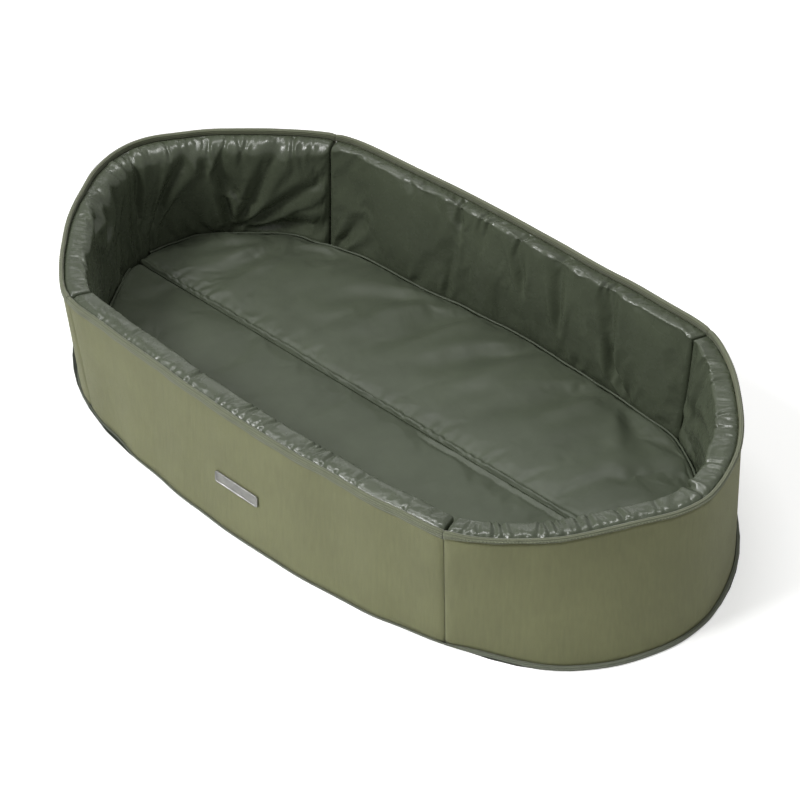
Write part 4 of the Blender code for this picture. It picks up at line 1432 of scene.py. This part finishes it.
def polyester_thread(name, colour):
    """Bonded polyester thread: three plies twisted together, with a slight shine."""
    look, tree, shader = new_material(name, colour, {"Roughness": 0.5})
    ply = noise(tree, 0.0007, 1.0)
    tint(tree, shader, colour, ply, 0.85, 1.1)
    bumps(tree, shader, (ply, 0.0002))
    return look


def coated_nylon(name, colour):
    """Nylon with a coat of PVC on its outer face: dull, with its coarse weave showing through."""
    look, tree, shader = new_material(name, colour, {"Roughness": 0.55})
    weave = weave_height(tree, 0.0016, 0.0016, place="Object")
    scuff = noise(tree, 0.05, 5.0, 0.65)
    tint(tree, shader, colour, spread(tree, scuff, 0.35, 0.7, 0.0, 1.0), 0.85, 1.15)
    bumps(tree, shader, (scuff, 0.0008), (weave, 0.0003))
    return look


def pewter(name, colour):
    """Cast zinc plated to look like pewter: grainy from the mould, with tarnish that varies at random over it."""
    look, tree, shader = new_material(name, colour, {"Metallic": 1.0})
    grain = noise(tree, 0.0009, 3.0, 0.6)
    tarnish = noise(tree, 0.011, 4.0, 0.6)
    tint(tree, shader, colour, spread(tree, tarnish, 0.3, 0.7, 0.0, 1.0), 0.82, 1.08)
    rough = spread(tree, tarnish, 0.3, 0.7, 0.52, 0.40)
    tree.links.new(rough, shader.inputs["Roughness"])
    bumps(tree, shader, (grain, 0.00012))
    return look


def material_of(kind, name, *values):
    """The material of that name, made on first use."""
    return bpy.data.materials.get(name) or kind(name, *values)


def tools(context):
    """(wall, colours, sizes) from the scene's settings."""
    scene = context.scene
    return Wall(scene.mat_sizes), scene.mat_colours, scene.mat_sizes


class MAT_OT_wall_pads(Operator):
    """Make the four foam walls in their coated liner"""

    bl_idname = "mat.wall_pads"
    bl_label = "Wall pads"

    def execute(self, context):
        wall, colours, sizes = tools(context)
        look = material_of(coated_fabric, "Calendered PVC, walls", colours.liner, *WALL_FINISH)
        for side in LENGTHS:
            make_wall_pad(wall, side, look, sizes.fold_share)
        return {"FINISHED"}


class MAT_OT_shells(Operator):
    """Make the woven outer fabric of the four walls"""

    bl_idname = "mat.shells"
    bl_label = "Woven shells"

    def execute(self, context):
        wall, colours, sizes = tools(context)
        look = material_of(woven_polyester, "Woven polyester", colours.shell)
        for side in LENGTHS:
            make_shell(wall, side, look)
        return {"FINISHED"}


class MAT_OT_bindings(Operator):
    """Make the tapes along the rim and the foot, with their stitches"""

    bl_idname = "mat.bindings"
    bl_label = "Bindings and stitches"

    def execute(self, context):
        wall, colours, sizes = tools(context)
        rim = material_of(grosgrain, "Grosgrain tape, rim", colours.tape, TAPE_RIB)
        foot = material_of(grosgrain, "Grosgrain tape, foot", colours.foot, TAPE_RIB)
        thread = material_of(polyester_thread, "Polyester thread", colours.thread)
        for side in LENGTHS:
            make_rim_binding(wall, side, rim)
            make_foot_binding(wall, side, foot)
            make_stitches(wall, side, thread, sizes.stitch_pitch)
        return {"FINISHED"}


class MAT_OT_floor(Operator):
    """Make the two floor cushions and their welts"""

    bl_idname = "mat.floor"
    bl_label = "Floor cushions"

    def execute(self, context):
        wall, colours, sizes = tools(context)
        cover = material_of(coated_fabric, "Calendered PVC, floor", colours.floor, *FLOOR_FINISH)
        for side in ("rear", "front"):
            make_floor_cushion(wall, side, cover, sizes.fold_share)
            make_floor_welt(wall, side, cover)
        return {"FINISHED"}


class MAT_OT_underside(Operator):
    """Give the underside and the centre seam's tape, which keep their shape, their finish"""

    bl_idname = "mat.underside"
    bl_label = "Underside"

    def execute(self, context):
        colours = context.scene.mat_colours
        nylon = material_of(coated_nylon, "Coated nylon", colours.underside)
        tape = material_of(coated_fabric, "Calendered PVC, floor", colours.floor, *FLOOR_FINISH)
        for node, look in (("base_sheet_rear", nylon), ("base_sheet_front", nylon), ("centre_seam_tape", tape)):
            bpy.data.objects[node].material_slots[0].material = look
        return {"FINISHED"}


class MAT_OT_plate(Operator):
    """Make the bare metal plate of the front wall"""

    bl_idname = "mat.plate"
    bl_label = "Plate"

    def execute(self, context):
        wall, colours, sizes = tools(context)
        make_plate(wall, material_of(pewter, "Pewter-finished zinc", colours.plate))
        return {"FINISHED"}


class MAT_OT_stage(Operator):
    """Make the pale floor, the soft lamps and the camera"""

    bl_idname = "mat.stage"
    bl_label = "Studio"

    def execute(self, context):
        scene = context.scene
        stage = scene.mat_stage
        mesh = bpy.data.meshes.new("studio_floor")
        corners = [(FLOOR_REACH * x, FLOOR_REACH * y, 0) for x, y in ((-1, -1), (1, -1), (1, 1), (-1, 1))]
        mesh.from_pydata(corners, [], [(0, 1, 2, 3)])
        floor = bpy.data.objects.new("studio_floor", mesh)
        scene.collection.objects.link(floor)
        look = bpy.data.materials.new("Painted studio floor")
        look.use_nodes = True
        shader = look.node_tree.nodes["Principled BSDF"]
        shader.inputs["Base Color"].default_value = (*linear(FLOOR_COLOUR), 1.0)
        shader.inputs["Roughness"].default_value = 0.9
        shader.inputs["Specular IOR Level"].default_value = 0.1
        shader.inputs["Emission Color"].default_value = (1.0, 1.0, 1.0, 1.0)
        path = add_node(look.node_tree, "ShaderNodeLightPath")
        glow = maths(look.node_tree, "MULTIPLY", path.outputs["Is Camera Ray"], FLOOR_GLOW)
        look.node_tree.links.new(glow, shader.inputs["Emission Strength"])
        mesh.materials.append(look)
        world = bpy.data.worlds.new("Studio")
        scene.world = world
        world.use_nodes = True
        tree = world.node_tree
        background = tree.nodes["Background"]
        background.inputs["Color"].default_value = (1.0, 1.0, 1.0, 1.0)
        path = add_node(tree, "ShaderNodeLightPath")
        glossy = spread(tree, path.outputs["Is Glossy Ray"], 0.0, 1.0, WORLD_STRENGTH, GLOSSY_WORLD_STRENGTH)
        shown = maths(tree, "MAXIMUM", glossy, path.outputs["Is Camera Ray"])
        tree.links.new(shown, background.inputs["Strength"])
        for name, place, aim, sides, watts, beam, lights_all in LAMPS:
            lamp = bpy.data.lights.new(name, "AREA")
            lamp.shape = "RECTANGLE"
            lamp.size, lamp.size_y = sides
            lamp.energy = watts
            lamp.spread = math.radians(beam)
            holder = bpy.data.objects.new(name, lamp)
            holder.visible_diffuse = lights_all
            holder.location = place
            holder.rotation_euler = (Vector(place) - Vector(aim)).to_track_quat("Z", "Y").to_euler()
            scene.collection.objects.link(holder)
        view = PhotoView(stage.azimuth, stage.elevation, stage.distance, stage.lens, stage.target)
        camera = bpy.data.cameras.new("Camera")
        camera.lens = stage.lens
        camera.sensor_width = SENSOR
        holder = bpy.data.objects.new("Camera", camera)
        holder.location = view.eye
        holder.rotation_euler = (-Vector(view.back)).to_track_quat("-Z", "Y").to_euler()
        scene.collection.objects.link(holder)
        scene.camera = holder
        scene.view_settings.view_transform = "Standard"
        return {"FINISHED"}


class MAT_PT_panel(Panel):
    """Sizes, colours and steps of the mat"""

    bl_label = "Mat"
    bl_space_type = "VIEW_3D"
    bl_region_type = "UI"
    bl_category = "Mat"

    def draw(self, context):
        scene = context.scene
        for group in (scene.mat_sizes, scene.mat_colours, scene.mat_stage):
            box = self.layout.box()
            for name in group.__annotations__:
                box.prop(group, name)
        for step in STEPS:
            self.layout.operator(step.bl_idname)


STEPS = (
    MAT_OT_wall_pads,
    MAT_OT_shells,
    MAT_OT_bindings,
    MAT_OT_floor,
    MAT_OT_underside,
    MAT_OT_plate,
    MAT_OT_stage,
)
GROUPS = {"mat_sizes": MatSizes, "mat_colours": MatColours, "mat_stage": MatStage}


def register():
    for kind in (*GROUPS.values(), *STEPS, MAT_PT_panel):
        bpy.utils.register_class(kind)
    for name, kind in GROUPS.items():
        setattr(bpy.types.Scene, name, PointerProperty(type=kind))


def unregister():
    for name in GROUPS:
        delattr(bpy.types.Scene, name)
    for kind in reversed((*GROUPS.values(), *STEPS, MAT_PT_panel)):
        bpy.utils.unregister_class(kind)


def main():
    register()
    for step in STEPS:
        group, name = step.bl_idname.split(".")
        getattr(getattr(bpy.ops, group), name)()


if __name__ == "__main__":
    main()
